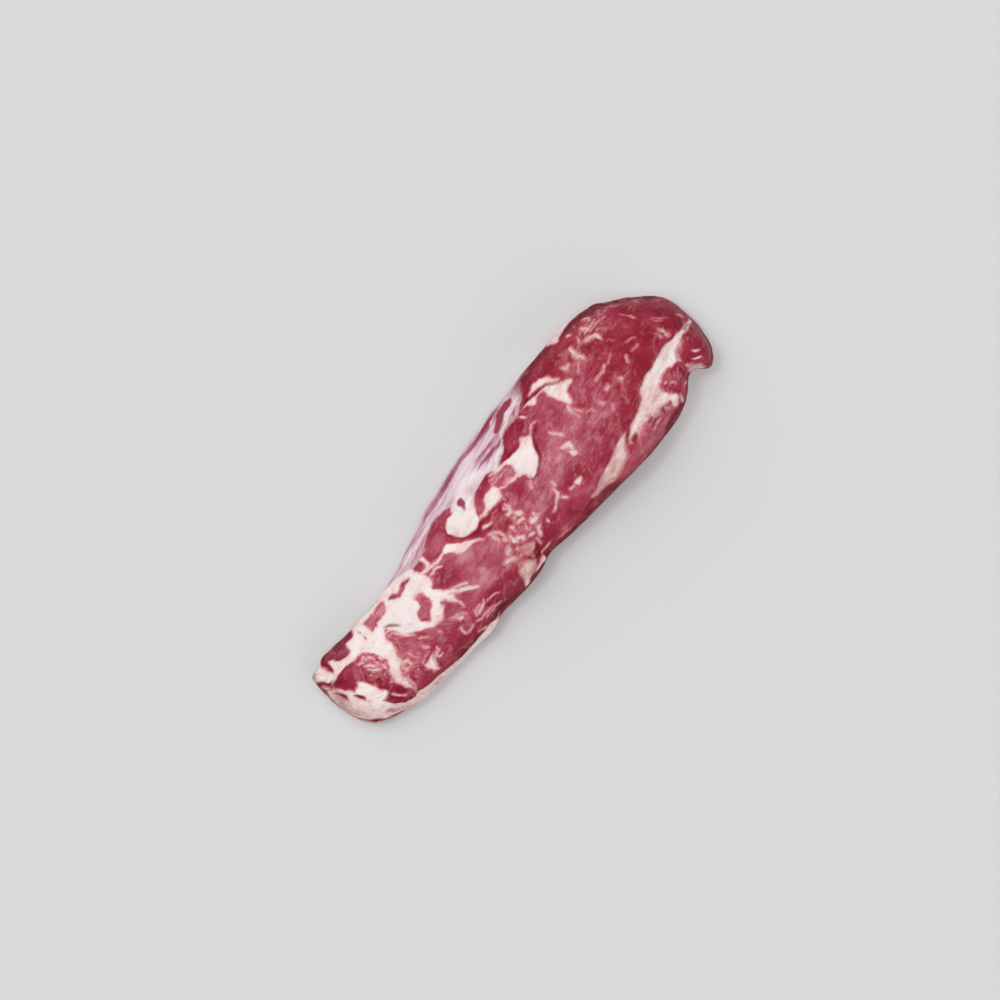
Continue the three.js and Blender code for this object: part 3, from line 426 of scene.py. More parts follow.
FAT_TONES = [ # 0 cream white, 1 greyish pink
    (-123, 2, 4, 16, 1.0), (-121, 21.6, 2, 2.4, 1.6), (-115.5, 19, 3, 3, 0.6), (-109, -3, 5, 7, 0.1),
    (-117, -8, 4, 6, 0.5), (-100, -22, 16, 3, 0.8), (-75, -26, 16, 3, 0.45), (-55, -28, 10, 2.5, 0.35),
    (-68, 9, 14, 8, 0), (-53, 10, 5, 8, 0.05), (-93, 12, 6, 10, 0.1), (-105, 15, 7, 3, 0.3),
    (-20, 15, 9, 6, 0), (-2, 11, 5, 4, 0.15), (21, 10, 9, 7, 0.1), (27, 15, 3, 2, 0.7),
    (34, 15.6, 4, 2, 0.8), (15, 3, 3, 3, 0.5), (9, 16, 6, 1.5, 0.5), (-26, 6, 8, 4, 0.5),
    (57, 17, 7, 7, 0.15), (-17, -23, 6, 4, 1.1), (46, -25, 12, 4, 0.9), (70, -21, 6, 3, 0.4),
    (80, -18, 7, 6, 0.6), (100, -12, 14, 4, 0.0), (105, -24, 4, 4, 0.9), (-8, -12, 16, 8, 0.45),
    (-60, -14, 20, 6, 0.45), (80, 22, 20, 9, 0.5), (80, 3, 20, 9, 0.7), (78, 34, 12, 2, 0.6),
]
MOTTLES = [ # 0 even meat, 1 broken up by flecks of fat
    (-8, -12, 13, 7, 0.75), (-98, 4, 5, 6, 0.9), (-90, -9, 4, 4, 0.9), (45, -2, 20, 9, 0.45),
    (60, -2, 8, 7, 0.6), (70, 20, 10, 7, 0.5), (88, 24, 9, 5, 0.8), (-62, -13, 16, 6, 0.4),
    (0, 3, 5, 4, 0.6), (95, -21, 6, 5, 0.5), (112, -20, 5, 6, 0.15), (-31, -5, 11, 10, 0),
    (98, 8, 12, 10, 0.0), (108, -2, 6, 5, 0.4), (3, -22, 16, 4, 0.1), (-104, 9, 8, 4, 0.15),
    (-43, 5, 6, 5, 0.35), (13, -6, 6, 7, 0.4), (60, 31, 14, 4, 0.0), (-22, 14, 6, 5, 0), (22, 8, 8, 7, 0),
    (57, 18, 6, 6, 0.3), (115, 4, 6, 12, 0.05), (-114, -6, 8, 12, 0.45), (-60, 12, 12, 8, 0.5),
    (-88, 10, 6, 12, 0.7), (-60, -27, 40, 3, 0), (-17, -23, 6, 4, 0.1), (85, -18, 12, 6, 0.5),
    (45, -25, 14, 4, 0.3), (104, -11, 14, 4, 0.2), (-80, 19, 6, 4, 0.7), (-104, 20, 8, 4, 0.2),
]


def smooth(value, low, high):
    """0 below low, 1 above high, and a soft step between."""
    t = np.clip((value - low) / (high - low), 0, 1)
    return t * t * (3 - 2 * t)


def raised(depth, height, low, high):
    """A step of the height, where the depth goes from low to high."""
    return height * smooth(depth, low, high)


def welded_body(node):
    """A copy of the CAD node's mesh, welded, joined into quads and smoothed by subdivision."""
    body = bpy.data.objects.new("tenderloin_meat", node.data.copy())
    bpy.context.scene.collection.objects.link(body)
    body.data.materials.clear()
    bm = bmesh.new()
    bm.from_mesh(body.data)
    bmesh.ops.remove_doubles(bm, verts=bm.verts, dist=WELD)
    bmesh.ops.join_triangles(
        bm, faces=bm.faces, angle_face_threshold=JOIN_ANGLE, angle_shape_threshold=JOIN_ANGLE
    )
    bm.to_mesh(body.data)
    bm.free()
    for name in [layer.name for layer in body.data.uv_layers]:
        body.data.uv_layers.remove(body.data.uv_layers[name])

    subdivision = body.modifiers.new("Smooth", "SUBSURF")
    subdivision.levels = SUBDIVISIONS
    subdivision.render_levels = SUBDIVISIONS
    evaluated = body.evaluated_get(bpy.context.evaluated_depsgraph_get())
    mesh = bpy.data.meshes.new_from_object(evaluated)
    body.modifiers.clear()
    body.data = mesh
    mesh.shade_smooth()
    return body


def places(mesh):
    """The vertices' places in millimetres, as an array."""
    values = np.empty(len(mesh.vertices) * 3)
    mesh.vertices.foreach_get("co", values)
    return values.reshape(-1, 3) / MM


def directions(mesh):
    """The vertices' normals, as an array."""
    values = np.empty(len(mesh.vertices) * 3)
    mesh.vertex_normals.foreach_get("vector", values)
    return values.reshape(-1, 3)


class Unrolled:
    """The skin of the muscle laid flat: u runs along it, and v round it, from 0 on top, in millimetres.

    A section is taken as an ellipse in its own box, and v is the arc length on it.
    """

    STATIONS = 90
    ASPECT = 0.56 # height of a section by its width
    TURNS = 361

    def __init__(self, mesh):
        where = places(mesh)
        low, high = where[:, 0].min(), where[:, 0].max()
        self.x = np.linspace(low, high, self.STATIONS)
        reach = (high - low) / self.STATIONS
        boxes = []
        for x in self.x:
            section = where[np.abs(where[:, 0] - x) < reach]
            boxes.append((section[:, 1].min(), section[:, 1].max(), section[:, 2].max()))
        near, far, top = np.array(boxes).T
        self.middle = (near + far) / 2
        self.half_width = (far - near) / 2
        self.half_height = top / 2
        self.angle = np.linspace(-math.pi, math.pi, self.TURNS)
        speed = np.hypot(np.cos(self.angle), self.ASPECT * np.sin(self.angle))
        steps = (speed[1:] + speed[:-1]) / 2 * (self.angle[1] - self.angle[0])
        self.arc = np.concatenate([[0], np.cumsum(steps)])
        self.arc -= np.interp(0, self.angle, self.arc)
        self.tree = BVHTree.FromPolygons(
            [tuple(place) for place in where], [tuple(p.vertices) for p in mesh.polygons]
        )

    def __call__(self, where):
        x, y, z = np.asarray(where, float).T
        across = (y - np.interp(x, self.x, self.middle)) / np.interp(x, self.x, self.half_width)
        up = z / np.interp(x, self.x, self.half_height) - 1
        angle = np.arctan2(across, up)
        v = np.interp(angle, self.angle, self.arc) * np.interp(x, self.x, self.half_width)
        return np.stack([x, v], axis=1)

    def seen(self, x, y):
        """The (u, v) seen by the camera at (x, y) of the outline's level. Past the outline, as far past."""
        camera = Vector((*CAMERA_AIM, OUTLINE_LEVEL + CAMERA_HEIGHT))
        aim = Vector((x, y, OUTLINE_LEVEL))
        hit = self.tree.ray_cast(camera, aim - camera)[0]
        if hit is not None:
            return self([hit])[0]
        nearest = self.tree.find_nearest(aim)[0]
        return self([nearest])[0] + (x - nearest.x, y - nearest.y)

    def points(self, line):
        """A line of (x, y, ...) as (u, v, ...)."""
        flat = np.array([self.seen(*point[:2]) for point in line])
        rest = np.array([point[2:] for point in line]).reshape(len(line), -1)
        return np.hstack([flat, rest])


def segments(line):
    return zip(line[:-1], line[1:])


def nearest_on(spots, start, end):
    """How far along a segment the nearest point to each spot is, 0 to 1, and its distance."""
    along = end[:2] - start[:2]
    t = np.clip((spots - start[:2]) @ along / max(along @ along, TINY), 0, 1)
    return t, np.linalg.norm(spots - start[:2] - t[:, None] * along, axis=1)


def stroke_depth(spots, line):
    """How deep each spot lies inside a stroke of changing half-width. Outside, it is negative."""
    if len(line) == 1:
        return line[0, 2] - np.linalg.norm(spots - line[0, :2], axis=1)
    depth = np.full(len(spots), -np.inf)
    for start, end in segments(line):
        t, distance = nearest_on(spots, start, end)
        depth = np.maximum(depth, start[2] + t * (end[2] - start[2]) - distance)
    return depth


def rounded(corners):
    """A closed outline with its corners cut off once."""
    after = np.roll(corners, -1, axis=0)
    kept = 1 - CORNER_CUT
    cuts = [kept * corners + CORNER_CUT * after, CORNER_CUT * corners + kept * after]
    return np.stack(cuts, axis=1).reshape(-1, 2)


def area_depth(spots, corners):
    """How deep each spot lies inside a closed outline. Outside, it is negative."""
    line = rounded(corners)
    distance = np.full(len(spots), np.inf)
    inside = np.zeros(len(spots), bool)
    for start, end in zip(line, np.roll(line, -1, axis=0)):
        distance = np.minimum(distance, nearest_on(spots, start, end)[1])
        crosses = (start[1] > spots[:, 1]) != (end[1] > spots[:, 1])
        rise = end[1] - start[1] if end[1] != start[1] else TINY
        crossing = start[0] + (spots[:, 1] - start[1]) * (end[0] - start[0]) / rise
        inside ^= crosses & (spots[:, 0] < crossing)
    return np.where(inside, distance, -distance)


def painted(unrolled, spots, patches):
    """The depth of each spot in a set of patches, painted one after another."""
    depth = np.full(len(spots), -FAR)
    for patch in patches:
        flat = unrolled.points(patch)
        is_stroke = flat.shape[1] == 3
        reach = FAR + (flat[:, 2].max() if is_stroke else 0)
        low, high = flat[:, :2].min(0) - reach, flat[:, :2].max(0) + reach
        near = np.where(((spots > low) & (spots < high)).all(axis=1))[0]
        inside = (stroke_depth if is_stroke else area_depth)(spots[near], flat)
        if isinstance(patch, Island):
            depth[near] = np.minimum(depth[near], -inside)
        else:
            depth[near] = np.maximum(depth[near], inside)
    return np.clip(depth, -FAR, FAR)


def spread(unrolled, spots, tones, base, base_weight):
    """The tones' values, spread round their places."""
    total = np.full(len(spots), base * base_weight)
    weights = np.full(len(spots), base_weight)
    for x, y, reach_x, reach_y, value in tones:
        [place] = unrolled.points([(x, y)])
        away = ((spots - place) / (reach_x, reach_y)) ** 2
        weight = np.exp(-away.sum(axis=1))
        total += weight * value
        weights += weight
    return total / weights


def beside(spots, line):
    """How far each spot lies to the left of a line, walking along it, and how near its ends, 0 to 1."""
    best = np.full(len(spots), np.inf)
    signed = np.zeros(len(spots))
    along = np.zeros(len(spots))
    walked = 0.0
    for start, end in segments(line):
        t, distance = nearest_on(spots, start, end)
        step = end - start
        side = step[0] * (spots[:, 1] - start[1]) - step[1] * (spots[:, 0] - start[0])
        closer = distance < best
        best = np.where(closer, distance, best)
        signed = np.where(closer, np.where(side >= 0, distance, -distance), signed)
        length = np.linalg.norm(step)
        along = np.where(closer, walked + t * length, along)
        walked += length
    return signed, smooth(np.minimum(along, walked - along), 0, min(END_FADE, END_SHARE * walked))


def noise_at(where, size, stretch=1.0, seed=0.0):
    """Smooth noise of about -1 to 1 with lumps of the given size, longer along X by the stretch."""
    scaled = where / (size * stretch, size, size) + seed
    return np.array([noise.noise(place) for place in scaled])


def noise_vectors(where, size, seed=0.0):
    return np.array([noise.noise_vector(place) for place in where / size + seed])


class Tissue:
    """What lies where on the surface, in millimetres of depth or as shares, for each vertex."""

    STORED = ("fat", "skin", "window", "skin_tone", "purple", "white", "dark", "shade", "meat_tone",
              "fat_tone", "mottle", "rim_shade") # what the material reads
    WANDER = ((5.0, 0.7, 11.0), (2.2, 0.6, 23.0)) # size and reach of the ragged edges, and a seed
    FOLD_WANDER = 0.3 # the share of it that the folds take

    # Between which places round the side each begins and is whole: v by half the width. The rim is the band
    # next to the outline that gets painted shade.
    RIM_SHADE = (0.95, 1.25)
    BELOW = (1.25, 1.6) # the hidden side
    RIM_SHADE_LOST_BELOW = 0.6

    # How the layers thin out, as depth by the way from their ends and their lower edge
    UNDERLAYER_END = 0.5
    UNDERLAYER_THINNEST = 1.0
    SKIN_END = 0.18
    SKIN_SLANT = 1.1
    SKIN_LOWEST = 1.75 # v by half the width
    SKIN_LOWER_EDGE = 0.35

    # Fat on the hidden side
    BANDS = 9
    FINE_BANDS = 0.45 # by the broad ones
    BARE = 2.4

    # Folds, in millimetres
    LIP_REACH = 5
    LIP_FACE = 0.8
    GAP = 0.6
    GAP_DEPTH = 0.5 # by the fold's height

    # Relief in millimetres, and the depths between which it is reached
    FAT_EDGE = (0.25, -0.5, 1.2)
    FAT_BODY = (0.65, 0.8, 5)
    CREASE = (0.25, -0.9, 0.5)
    UNDER_FAT = (-0.5, 1.0) # where the grain ends
    GRAIN = 0.22
    BROKEN = 0.5
    LUMPS = 0.7
    FLANK_LUMPS = 0.4 # the share of them that the flanks have

    def __init__(self, unrolled, where):
        plain = unrolled(where)
        spots = plain.copy()
        for size, reach, seed in self.WANDER:
            spots += reach * noise_vectors(where, size, seed)[:, :2]
        self.where = where

        half_width = np.interp(plain[:, 0], unrolled.x, unrolled.half_width)
        turned = np.abs(plain[:, 1]) / np.maximum(half_width, 1)
        self.below = smooth(turned, *self.BELOW)
        # The rim: a band round the flanks next to the outline, where the meat gets painted shade
        self.rim_shade = smooth(turned, *self.RIM_SHADE) * (1 - self.RIM_SHADE_LOST_BELOW * self.below)
        fat = self.underlayer(unrolled, spots)
        for patches in (TAIL_FAT, TAIL_FLECKS, MIDDLE_FAT, HEAD_FAT, SEAM_FAT):
            fat = np.maximum(fat, painted(unrolled, spots, patches))
        self.fat = fat * (1 - self.below) + self.marbling(where) * self.below

        self.skin = self.silverskin(unrolled, spots)
        self.window = painted(unrolled, spots, WINDOWS)
        self.white = painted(unrolled, spots, WHITE_STREAKS)
        self.dark = painted(unrolled, plain, DARK_LINES)
        self.skin_tone = spread(unrolled, spots, SKIN_TONES, base=0.5, base_weight=0.05)
        self.purple = spread(unrolled, spots, PURPLES, base=0, base_weight=0.3)
        self.meat_tone = spread(unrolled, spots, MEAT_TONES, base=0.42, base_weight=0.05)
        self.fat_tone = spread(unrolled, spots, FAT_TONES, base=0.35, base_weight=0.1)
        self.mottle = spread(unrolled, spots, MOTTLES, base=0.25, base_weight=0.1)

        self.height = np.zeros(len(where))
        self.shade = np.zeros(len(where))
        for height, line in FOLDS:
            self.fold(unrolled, plain + self.FOLD_WANDER * (spots - plain), height, line)

    def underlayer(self, unrolled, spots):
        """How far inside the layer of fat under the tail muscle."""
        edge = unrolled.points(UNDERLAYER_EDGE)
        across = np.interp(spots[:, 0], edge[:, 0], edge[:, 1]) - spots[:, 1]
        along = np.minimum(spots[:, 0] - edge[0, 0], edge[-1, 0] - spots[:, 0])
        thinning = self.UNDERLAYER_END * along + self.UNDERLAYER_THINNEST
        return np.clip(np.minimum(across, thinning), -FAR, FAR)

    def silverskin(self, unrolled, spots):
        """How far inside the silverskin, which thins out slowly at its ends and towards the underside."""
        edge = unrolled.points(SILVERSKIN_EDGE)
        across = spots[:, 1] - np.interp(spots[:, 0], edge[:, 0], edge[:, 1])
        slant = self.SKIN_SLANT * (spots[:, 1] - edge[-1, 1])
        along = np.minimum(spots[:, 0] - edge[0, 0], edge[-1, 0] + slant - spots[:, 0])
        half_width = np.interp(spots[:, 0], unrolled.x, unrolled.half_width)
        above = self.SKIN_LOWEST * half_width - spots[:, 1]
        thinning = np.minimum(self.SKIN_END * along, self.SKIN_LOWER_EDGE * above)
        return np.clip(np.minimum(across, thinning), -FAR, FAR)

    def marbling(self, where):
        """Fat on the hidden side: wandering bands of it."""
        broad = noise_at(where, size=17, stretch=2.2, seed=5.0)
        fine = noise_at(where, size=6, stretch=1.8, seed=9.0)
        return self.BANDS * (broad + self.FINE_BANDS * fine) - self.BARE

    def fold(self, unrolled, spots, height, line):
        """Raises the lip of a fold, and sinks the gap beside it and marks painted shade in it."""
        signed, ends = beside(spots, unrolled.points(line)[:, :2])
        slope = np.exp(-np.maximum(signed, 0) / self.LIP_REACH)
        lip = np.where(signed > 0, slope, smooth(signed, -self.LIP_FACE, 0.0))
        gap = np.exp(-(((signed + self.GAP) / self.GAP) ** 2))
        self.height += height * ends * (lip - self.GAP_DEPTH * gap)
        # Painted shade: how dark the gap beside the fold is coloured, more for higher folds
        self.shade = np.maximum(self.shade, ends * gap * min(1, height * height))

    def relief(self, facing_up):
        """How far each vertex stands out of the smooth body, in millimetres."""
        where = self.where
        thick = raised(self.fat, *self.FAT_EDGE) + raised(self.fat, *self.FAT_BODY)
        named = self.height + thick - raised(self.dark, *self.CREASE)
        broken = self.BROKEN * self.mottle * noise_at(where, size=3.2, stretch=1.3, seed=31.0)
        grain = self.GRAIN * noise_at(where, size=2.6, stretch=5.0, seed=41.0)
        grain *= 1 - smooth(self.fat, *self.UNDER_FAT)
        lumps = self.LUMPS * noise_at(where, size=9, stretch=1.4, seed=51.0)
        lumps *= self.FLANK_LUMPS + (1 - self.FLANK_LUMPS) * facing_up
        return named * (1 - self.below) + broken + grain + lumps


def add_relief(mesh, tissue):
    """Moves the vertices out along their normals, less near the ground, and not past the solid's box."""
    where = places(mesh)
    normals = directions(mesh)
    facing_up = np.clip(normals[:, 2], 0, 1)
    resting = smooth(where[:, 2], *FOOT)
    moved = where + normals * (tissue.relief(facing_up) * resting)[:, None]
    low, high = (np.array(corner) / MM for corner in CAD_BOX)
    moved = np.clip(moved, low, high)
    mesh.vertices.foreach_set("co", (moved * MM).ravel())
    mesh.update()


def store(mesh, tissue):
    """Keeps the tissue on the mesh, one attribute for each kind of value."""
    for name in Tissue.STORED:
        attribute = mesh.attributes.new(name, "FLOAT", "POINT")
        attribute.data.foreach_set("value", getattr(tissue, name).astype(np.float32))


def colour(red, green, blue):
    """A screen colour of 0 to 255 as the light that it stands for."""
    shares = [channel / 255 for channel in (red, green, blue)]
    return [s / 12.92 if s <= 0.04045 else ((s + 0.055) / 1.055) ** 2.4 for s in shares] + [1]


# Colours over a tone from 0 to 1
MEAT_RAMP = (
    (0.0, colour(108, 6, 28)), (0.3, colour(147, 25, 48)), (0.55, colour(168, 52, 74)),
    (0.8, colour(186, 90, 108)), (1.0, colour(208, 138, 150)),
)
FAT_RAMP = (
    (0.0, colour(255, 240, 238)), (0.35, colour(248, 218, 214)), (0.7, colour(232, 190, 186)),
    (1.0, colour(202, 156, 150)),
)
SKIN_RAMP = (
    (0.0, colour(150, 68, 94)), (0.25, colour(188, 122, 144)), (0.5, colour(222, 184, 196)),
    (0.75, colour(240, 214, 222)), (1.0, colour(253, 244, 247)),
)
PURPLE_MEAT = colour(150, 66, 92)
MEAT_IN_SKIN = colour(152, 36, 62)
VEIL_PINK = colour(222, 146, 156)
FLECK_PINK = colour(240, 184, 184)
FAT_RIM_PINK = colour(220, 116, 132)
STREAK_WHITE = colour(252, 240, 243)
# Painted shade in creases and gaps, and the colour of spots of dark meat
CREASE_SHADE_AND_DARK_MEAT = colour(124, 12, 34)
# Painted shade for the gaps beside folds
GAP_SHADE_RED = colour(128, 8, 36)
FLOOR_COLOUR = (0.68, 0.693, 0.693, 1)
FLOOR_HALF_WIDTH = 6.0 # in metres
TAIL_GRAIN = (-30, -50) # between these X, in millimetres, the grain turns to a slant


class Nodes:
    """Adds nodes to a material, each with one call that gives its output socket."""

    def __init__(self, material):
        self.tree = material.node_tree

    def add(self, kind, inputs, output=0, **settings):
        node = self.tree.nodes.new(kind)
        for name, value in settings.items():
            setattr(node, name, value)
        for key, value in inputs.items():
            if isinstance(value, bpy.types.NodeSocket):
                self.tree.links.new(value, node.inputs[key])
            else:
                node.inputs[key].default_value = value
        return node.outputs[output]

    def stored(self, name):
        return self.add("ShaderNodeAttribute", {}, "Fac", attribute_name=name)

    def place(self, stretch=1.0, slant=0.0):
        """The place on the object in millimetres, drawn out in a direction turned from X by the slant."""
        inputs = {"Vector": self.add("ShaderNodeTexCoord", {}, "Object"), "Scale": (stretch * MM, MM, MM),
                  "Rotation": (0, 0, math.radians(slant))}
        return self.add("ShaderNodeMapping", inputs, vector_type="TEXTURE")

    def noise(self, where, scale, detail=3.0, roughness=0.6, distortion=0.0):
        inputs = {"Vector": where, "Scale": scale, "Detail": detail, "Roughness": roughness,
                  "Distortion": distortion}
        return self.add("ShaderNodeTexNoise", inputs, "Fac")

    def product(self, a, b):
        return self.add("ShaderNodeMath", {0: a, 1: b}, operation="MULTIPLY")

    def sum(self, *terms):
        """The sum of (socket, factor) pairs and plain numbers."""
        total = 0.0
        for term in terms:
            if isinstance(term, tuple):
                inputs = {0: term[0], 1: term[1], 2: total}
                total = self.add("ShaderNodeMath", inputs, operation="MULTIPLY_ADD")
            else:
                total = self.add("ShaderNodeMath", {0: total, 1: term}, operation="ADD")
        return total

    def smooth(self, value, low, high, out_low=0.0, out_high=1.0):
        inputs = {"Value": value, "From Min": low, "From Max": high, "To Min": out_low,
                  "To Max": out_high}
        return self.add("ShaderNodeMapRange", inputs, "Result", interpolation_type="SMOOTHSTEP")

    def mix(self, share, a, b):
        return self.add("ShaderNodeMix", {0: share, 6: a, 7: b}, 2, data_type="RGBA")

    def over(self, under, shade, depth, low, high, cover=1.0):
        """A colour with another over it, which comes in as the depth goes from low to high."""
        return self.mix(self.smooth(depth, low, high, 0, cover), under, shade)

    def ramp(self, value, stops):
        node = self.tree.nodes.new("ShaderNodeValToRGB")
        elements = node.color_ramp.elements
        while len(elements) < len(stops):
            elements.new(1.0)
        for element, (position, shade) in zip(elements, stops):
            element.position = position
            element.color = shade
        self.tree.links.new(value, node.inputs["Fac"])
        return node.outputs["Color"]

    def bump(self, height, strength, distance, normal=None):
        inputs = {"Height": height, "Strength": strength, "Distance": distance}
        if normal is not None:
            inputs["Normal"] = normal
        return self.add("ShaderNodeBump", inputs, "Normal")


def flesh_material():
    material = bpy.data.materials.new("raw_meat")
    material.use_nodes = True
    nodes = Nodes(material)

    # Noise, and the place that it is taken at, drawn out and turned
    plain = nodes.place()
    coarse = nodes.noise(plain, scale=0.42)
    fine = nodes.noise(plain, scale=1.3)
    fibres = nodes.noise(nodes.place(3.6, 8), scale=0.7, roughness=0.55, distortion=0.4)
    threads = nodes.noise(nodes.place(8, 8), scale=1.7, distortion=0.5)
    slanted = nodes.noise(nodes.place(3.0, -42), scale=0.8, roughness=0.58, distortion=0.5)
    cloud = nodes.noise(nodes.place(1.5), scale=0.13, roughness=0.55)
    veils = nodes.noise(nodes.place(1.6, 30), scale=0.25, distortion=0.5)
    crumbs = nodes.noise(nodes.place(1.5, -20), scale=0.45, detail=4, roughness=0.62, distortion=0.8)
    band = nodes.noise(nodes.place(7, 9), scale=0.42, roughness=0.55, distortion=0.5)
    x = nodes.add("ShaderNodeSeparateXYZ", {0: nodes.add("ShaderNodeTexCoord", {}, "Object")}, "X")
    in_tail = nodes.smooth(x, *(along * MM for along in TAIL_GRAIN))
    grain = nodes.add("ShaderNodeMix", {0: in_tail, 2: fibres, 3: slanted}, 0, data_type="FLOAT")
    mottle = nodes.stored("mottle")
    rim_shade = nodes.stored("rim_shade")

    # Meat
    liveliness = nodes.smooth(mottle, 0.0, 0.7, 0.3, 0.6)
    texture = nodes.product(nodes.sum((grain, 1.0), (coarse, 0.4), (fine, 0.6), -1.0), liveliness)
    # Painted shade: the tone darkens in the band round the flanks next to the outline
    tone = nodes.sum((nodes.stored("meat_tone"), 1.0), (texture, 1.0), (cloud, 1.0), (rim_shade, -0.5), -0.43)
    meat = nodes.ramp(tone, MEAT_RAMP)
    meat = nodes.mix(nodes.product(nodes.stored("purple"), 0.55), meat, PURPLE_MEAT)
    veil = nodes.smooth(nodes.sum((veils, 1.0), (mottle, 0.25), (grain, 0.15)), 0.62, 0.88)
    meat = nodes.mix(nodes.product(veil, 0.45), meat, VEIL_PINK)
    flecks = nodes.smooth(nodes.sum((crumbs, 1.0), (fine, 0.25), (mottle, 0.17)), 0.78, 0.92)
    flecks = nodes.product(flecks, nodes.smooth(mottle, 0.15, 0.9))
    meat = nodes.mix(nodes.product(flecks, 0.85), meat, FLECK_PINK)

    # Fat, pink where it thins out at its edges, and with ragged edges where the meat is broken up
    ragged = nodes.sum((fine, 2.0), (grain, 3.0), (coarse, 1.4), -3.2)
    ragged = nodes.product(ragged, nodes.smooth(mottle, 0.0, 0.8, 0.15, 0.85))
    crispness = nodes.smooth(mottle, 0.0, 0.5, 2.0, 1.5)
    fat_depth = nodes.product(nodes.sum((nodes.stored("fat"), 1.0), (ragged, 1.0), 0.12), crispness)
    thinness = nodes.smooth(fat_depth, 0.0, 3.2, 0.42, 0.0)
    fat_tone = nodes.sum(
        (nodes.stored("fat_tone"), 1.0), (cloud, 1.1), (grain, 1.3), (veils, 1.0), (thinness, 1.0), -1.8
    )
    flesh = nodes.over(meat, FAT_RIM_PINK, fat_depth, -1.8, 0.1, cover=0.55)
    flesh = nodes.over(flesh, nodes.ramp(fat_tone, FAT_RAMP), fat_depth, -0.6, 1.4)

    # Silverskin, drawn out in streaks along the muscle
    skin_tone = nodes.sum(
        (nodes.stored("skin_tone"), 1.0), (threads, 0.5), (band, 0.9), (cloud, 0.3), -0.85
    )
    window_depth = nodes.sum((nodes.stored("window"), 1.0), (threads, 1.2), (band, 0.6), -0.9)
    white_depth = nodes.sum((nodes.stored("white"), 1.0), (threads, 1.4), (band, 1.2), -1.3)
    skin_depth = nodes.sum((nodes.stored("skin"), 1.0), (threads, 1.6), (band, 1.6), (coarse, 0.8), -2.0)
    skin = nodes.ramp(skin_tone, SKIN_RAMP)
    skin = nodes.over(skin, MEAT_IN_SKIN, window_depth, -0.7, 0.6, cover=0.95)
    skin = nodes.over(skin, STREAK_WHITE, white_depth, -0.7, 1.1, cover=0.85)
    flesh = nodes.over(flesh, skin, skin_depth, -0.9, 1.3, cover=0.95)

    # Painted shade in creases and in the gaps beside folds, and spots of dark meat
    dark_depth = nodes.sum((nodes.stored("dark"), 1.0), (fine, 1.6), -0.8)
    # The dark lines: painted shade in creases and gaps, and spots of dark meat
    flesh = nodes.over(flesh, CREASE_SHADE_AND_DARK_MEAT, dark_depth, -0.9, 0.5, cover=0.85)
    # Painted shade: dark red laid into the gaps beside folds
    flesh = nodes.over(flesh, GAP_SHADE_RED, nodes.stored("shade"), 0.2, 1.0, cover=0.5)

    fibre_bump = nodes.bump(nodes.sum((grain, 1.0), (threads, 0.5)), strength=0.8, distance=0.0005)
    normal = nodes.bump(nodes.sum((fine, 0.7), (coarse, 1.0)), 0.8, 0.0009, normal=fibre_bump)

    roughness = nodes.sum((coarse, 0.3), (fine, 0.3), (rim_shade, 0.3), 0.03)
    shader = material.node_tree.nodes["Principled BSDF"]
    for name, socket in (("Base Color", flesh), ("Normal", normal), ("Roughness", roughness)):
        material.node_tree.links.new(socket, shader.inputs[name])
    shader.inputs["Subsurface Weight"].default_value = 0.12
    shader.inputs["Subsurface Radius"].default_value = (1.0, 0.35, 0.3)
    shader.inputs["Subsurface Scale"].default_value = 1.2 * MM
    shader.inputs["Specular IOR Level"].default_value = 0.12
    return material


def make_meat():
    body = welded_body(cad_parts["tenderloin"])
    mesh = body.data
    tissue = Tissue(Unrolled(mesh), places(mesh))
    add_relief(mesh, tissue)
    store(mesh, tissue)
    mesh.materials.append(flesh_material())
    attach(body, "root")
    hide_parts("tenderloin")


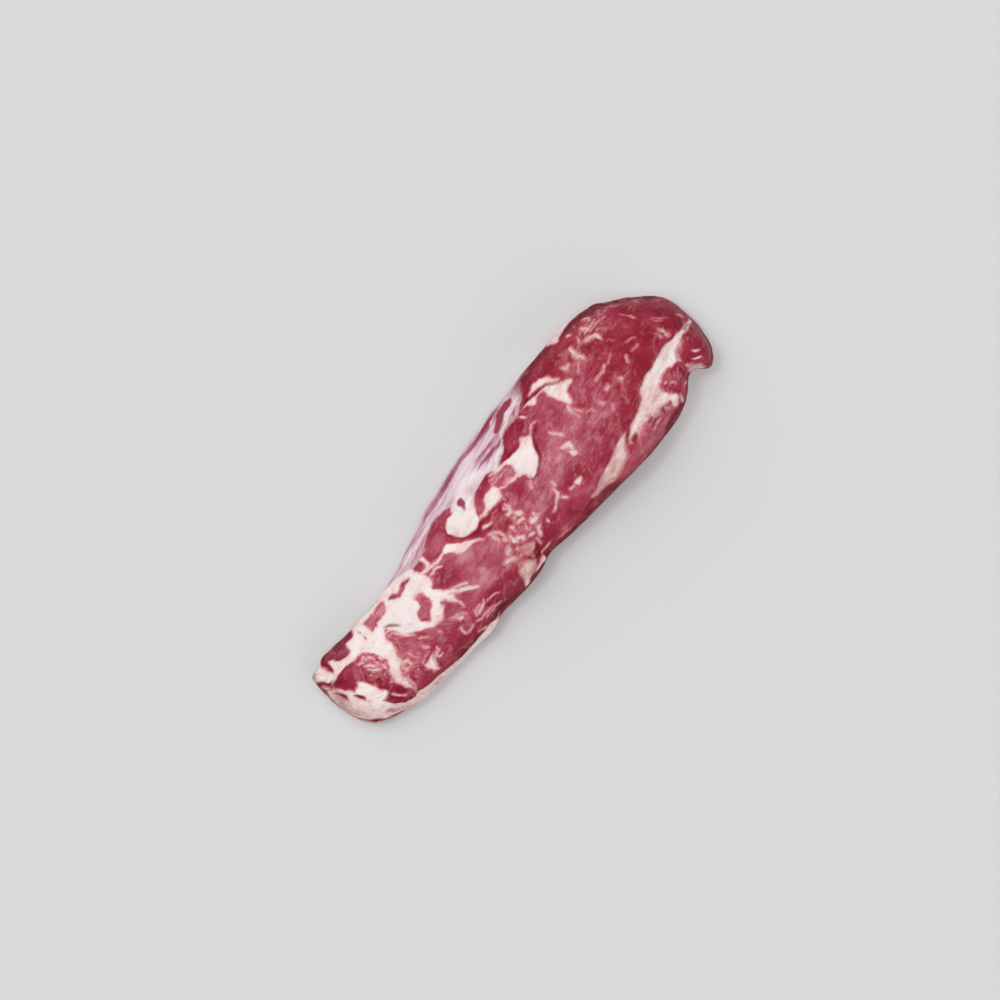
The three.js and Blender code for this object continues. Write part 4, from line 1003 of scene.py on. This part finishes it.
def make_floor():
    material = bpy.data.materials.new("floor")
    material.use_nodes = True
    shader = material.node_tree.nodes["Principled BSDF"]
    shader.inputs["Base Color"].default_value = FLOOR_COLOUR
    shader.inputs["Roughness"].default_value = 0.9
    shader.inputs["Specular IOR Level"].default_value = 0.1
    mesh = bpy.data.meshes.new("floor")
    far = FLOOR_HALF_WIDTH
    mesh.from_pydata([(-far, -far, 0), (far, -far, 0), (far, far, 0), (-far, far, 0)], [], [(0, 1, 2, 3)])
    mesh.materials.append(material)
    floor = bpy.data.objects.new("floor", mesh)
    floor.location.z = CAD_BOX[0].z
    bpy.context.scene.collection.objects.link(floor)


def make_camera():
    data = bpy.data.cameras.new("camera")
    data.sensor_width = SENSOR
    data.lens = SENSOR * CAMERA_HEIGHT / FRAME_WIDTH
    data.clip_end = 20
    camera = bpy.data.objects.new("camera", data)
    camera.location = Vector((*CAMERA_AIM, OUTLINE_LEVEL + CAMERA_HEIGHT)) * MM
    camera.rotation_euler = (0, 0, CAMERA_TURN)
    bpy.context.scene.collection.objects.link(camera)
    bpy.context.scene.camera = camera


def make_sun(name, azimuth, elevation, spread_angle, strength, casts_shadow=True):
    """A soft sun. Azimuth is counted from +X towards +Y, and elevation up from the floor."""
    data = bpy.data.lights.new(name, "SUN")
    data.energy = strength
    data.angle = math.radians(spread_angle)
    data.use_shadow = casts_shadow
    sun = bpy.data.objects.new(name, data)
    flat = math.cos(math.radians(elevation))
    towards = Vector((
        flat * math.cos(math.radians(azimuth)),
        flat * math.sin(math.radians(azimuth)),
        math.sin(math.radians(elevation)),
    ))
    sun.rotation_euler = towards.to_track_quat("Z", "Y").to_euler()
    bpy.context.scene.collection.objects.link(sun)


def make_light():
    world = bpy.data.worlds.new("studio")
    world.use_nodes = True
    background = world.node_tree.nodes["Background"]
    background.inputs["Color"].default_value = (1, 1, 1, 1)
    background.inputs["Strength"].default_value = 0.12
    bpy.context.scene.world = world
    make_sun("key", azimuth=100, elevation=77, spread_angle=58, strength=1.42)
    make_sun("spark", azimuth=110, elevation=70, spread_angle=9, strength=0.4)
    make_sun("fill near", azimuth=275, elevation=30, spread_angle=60, strength=1.15, casts_shadow=False)
    make_sun("fill far", azimuth=85, elevation=30, spread_angle=60, strength=0.95, casts_shadow=False)


make_camera()
make_light()
make_floor()
make_meat()
bpy.context.scene.view_settings.view_transform = "Standard"
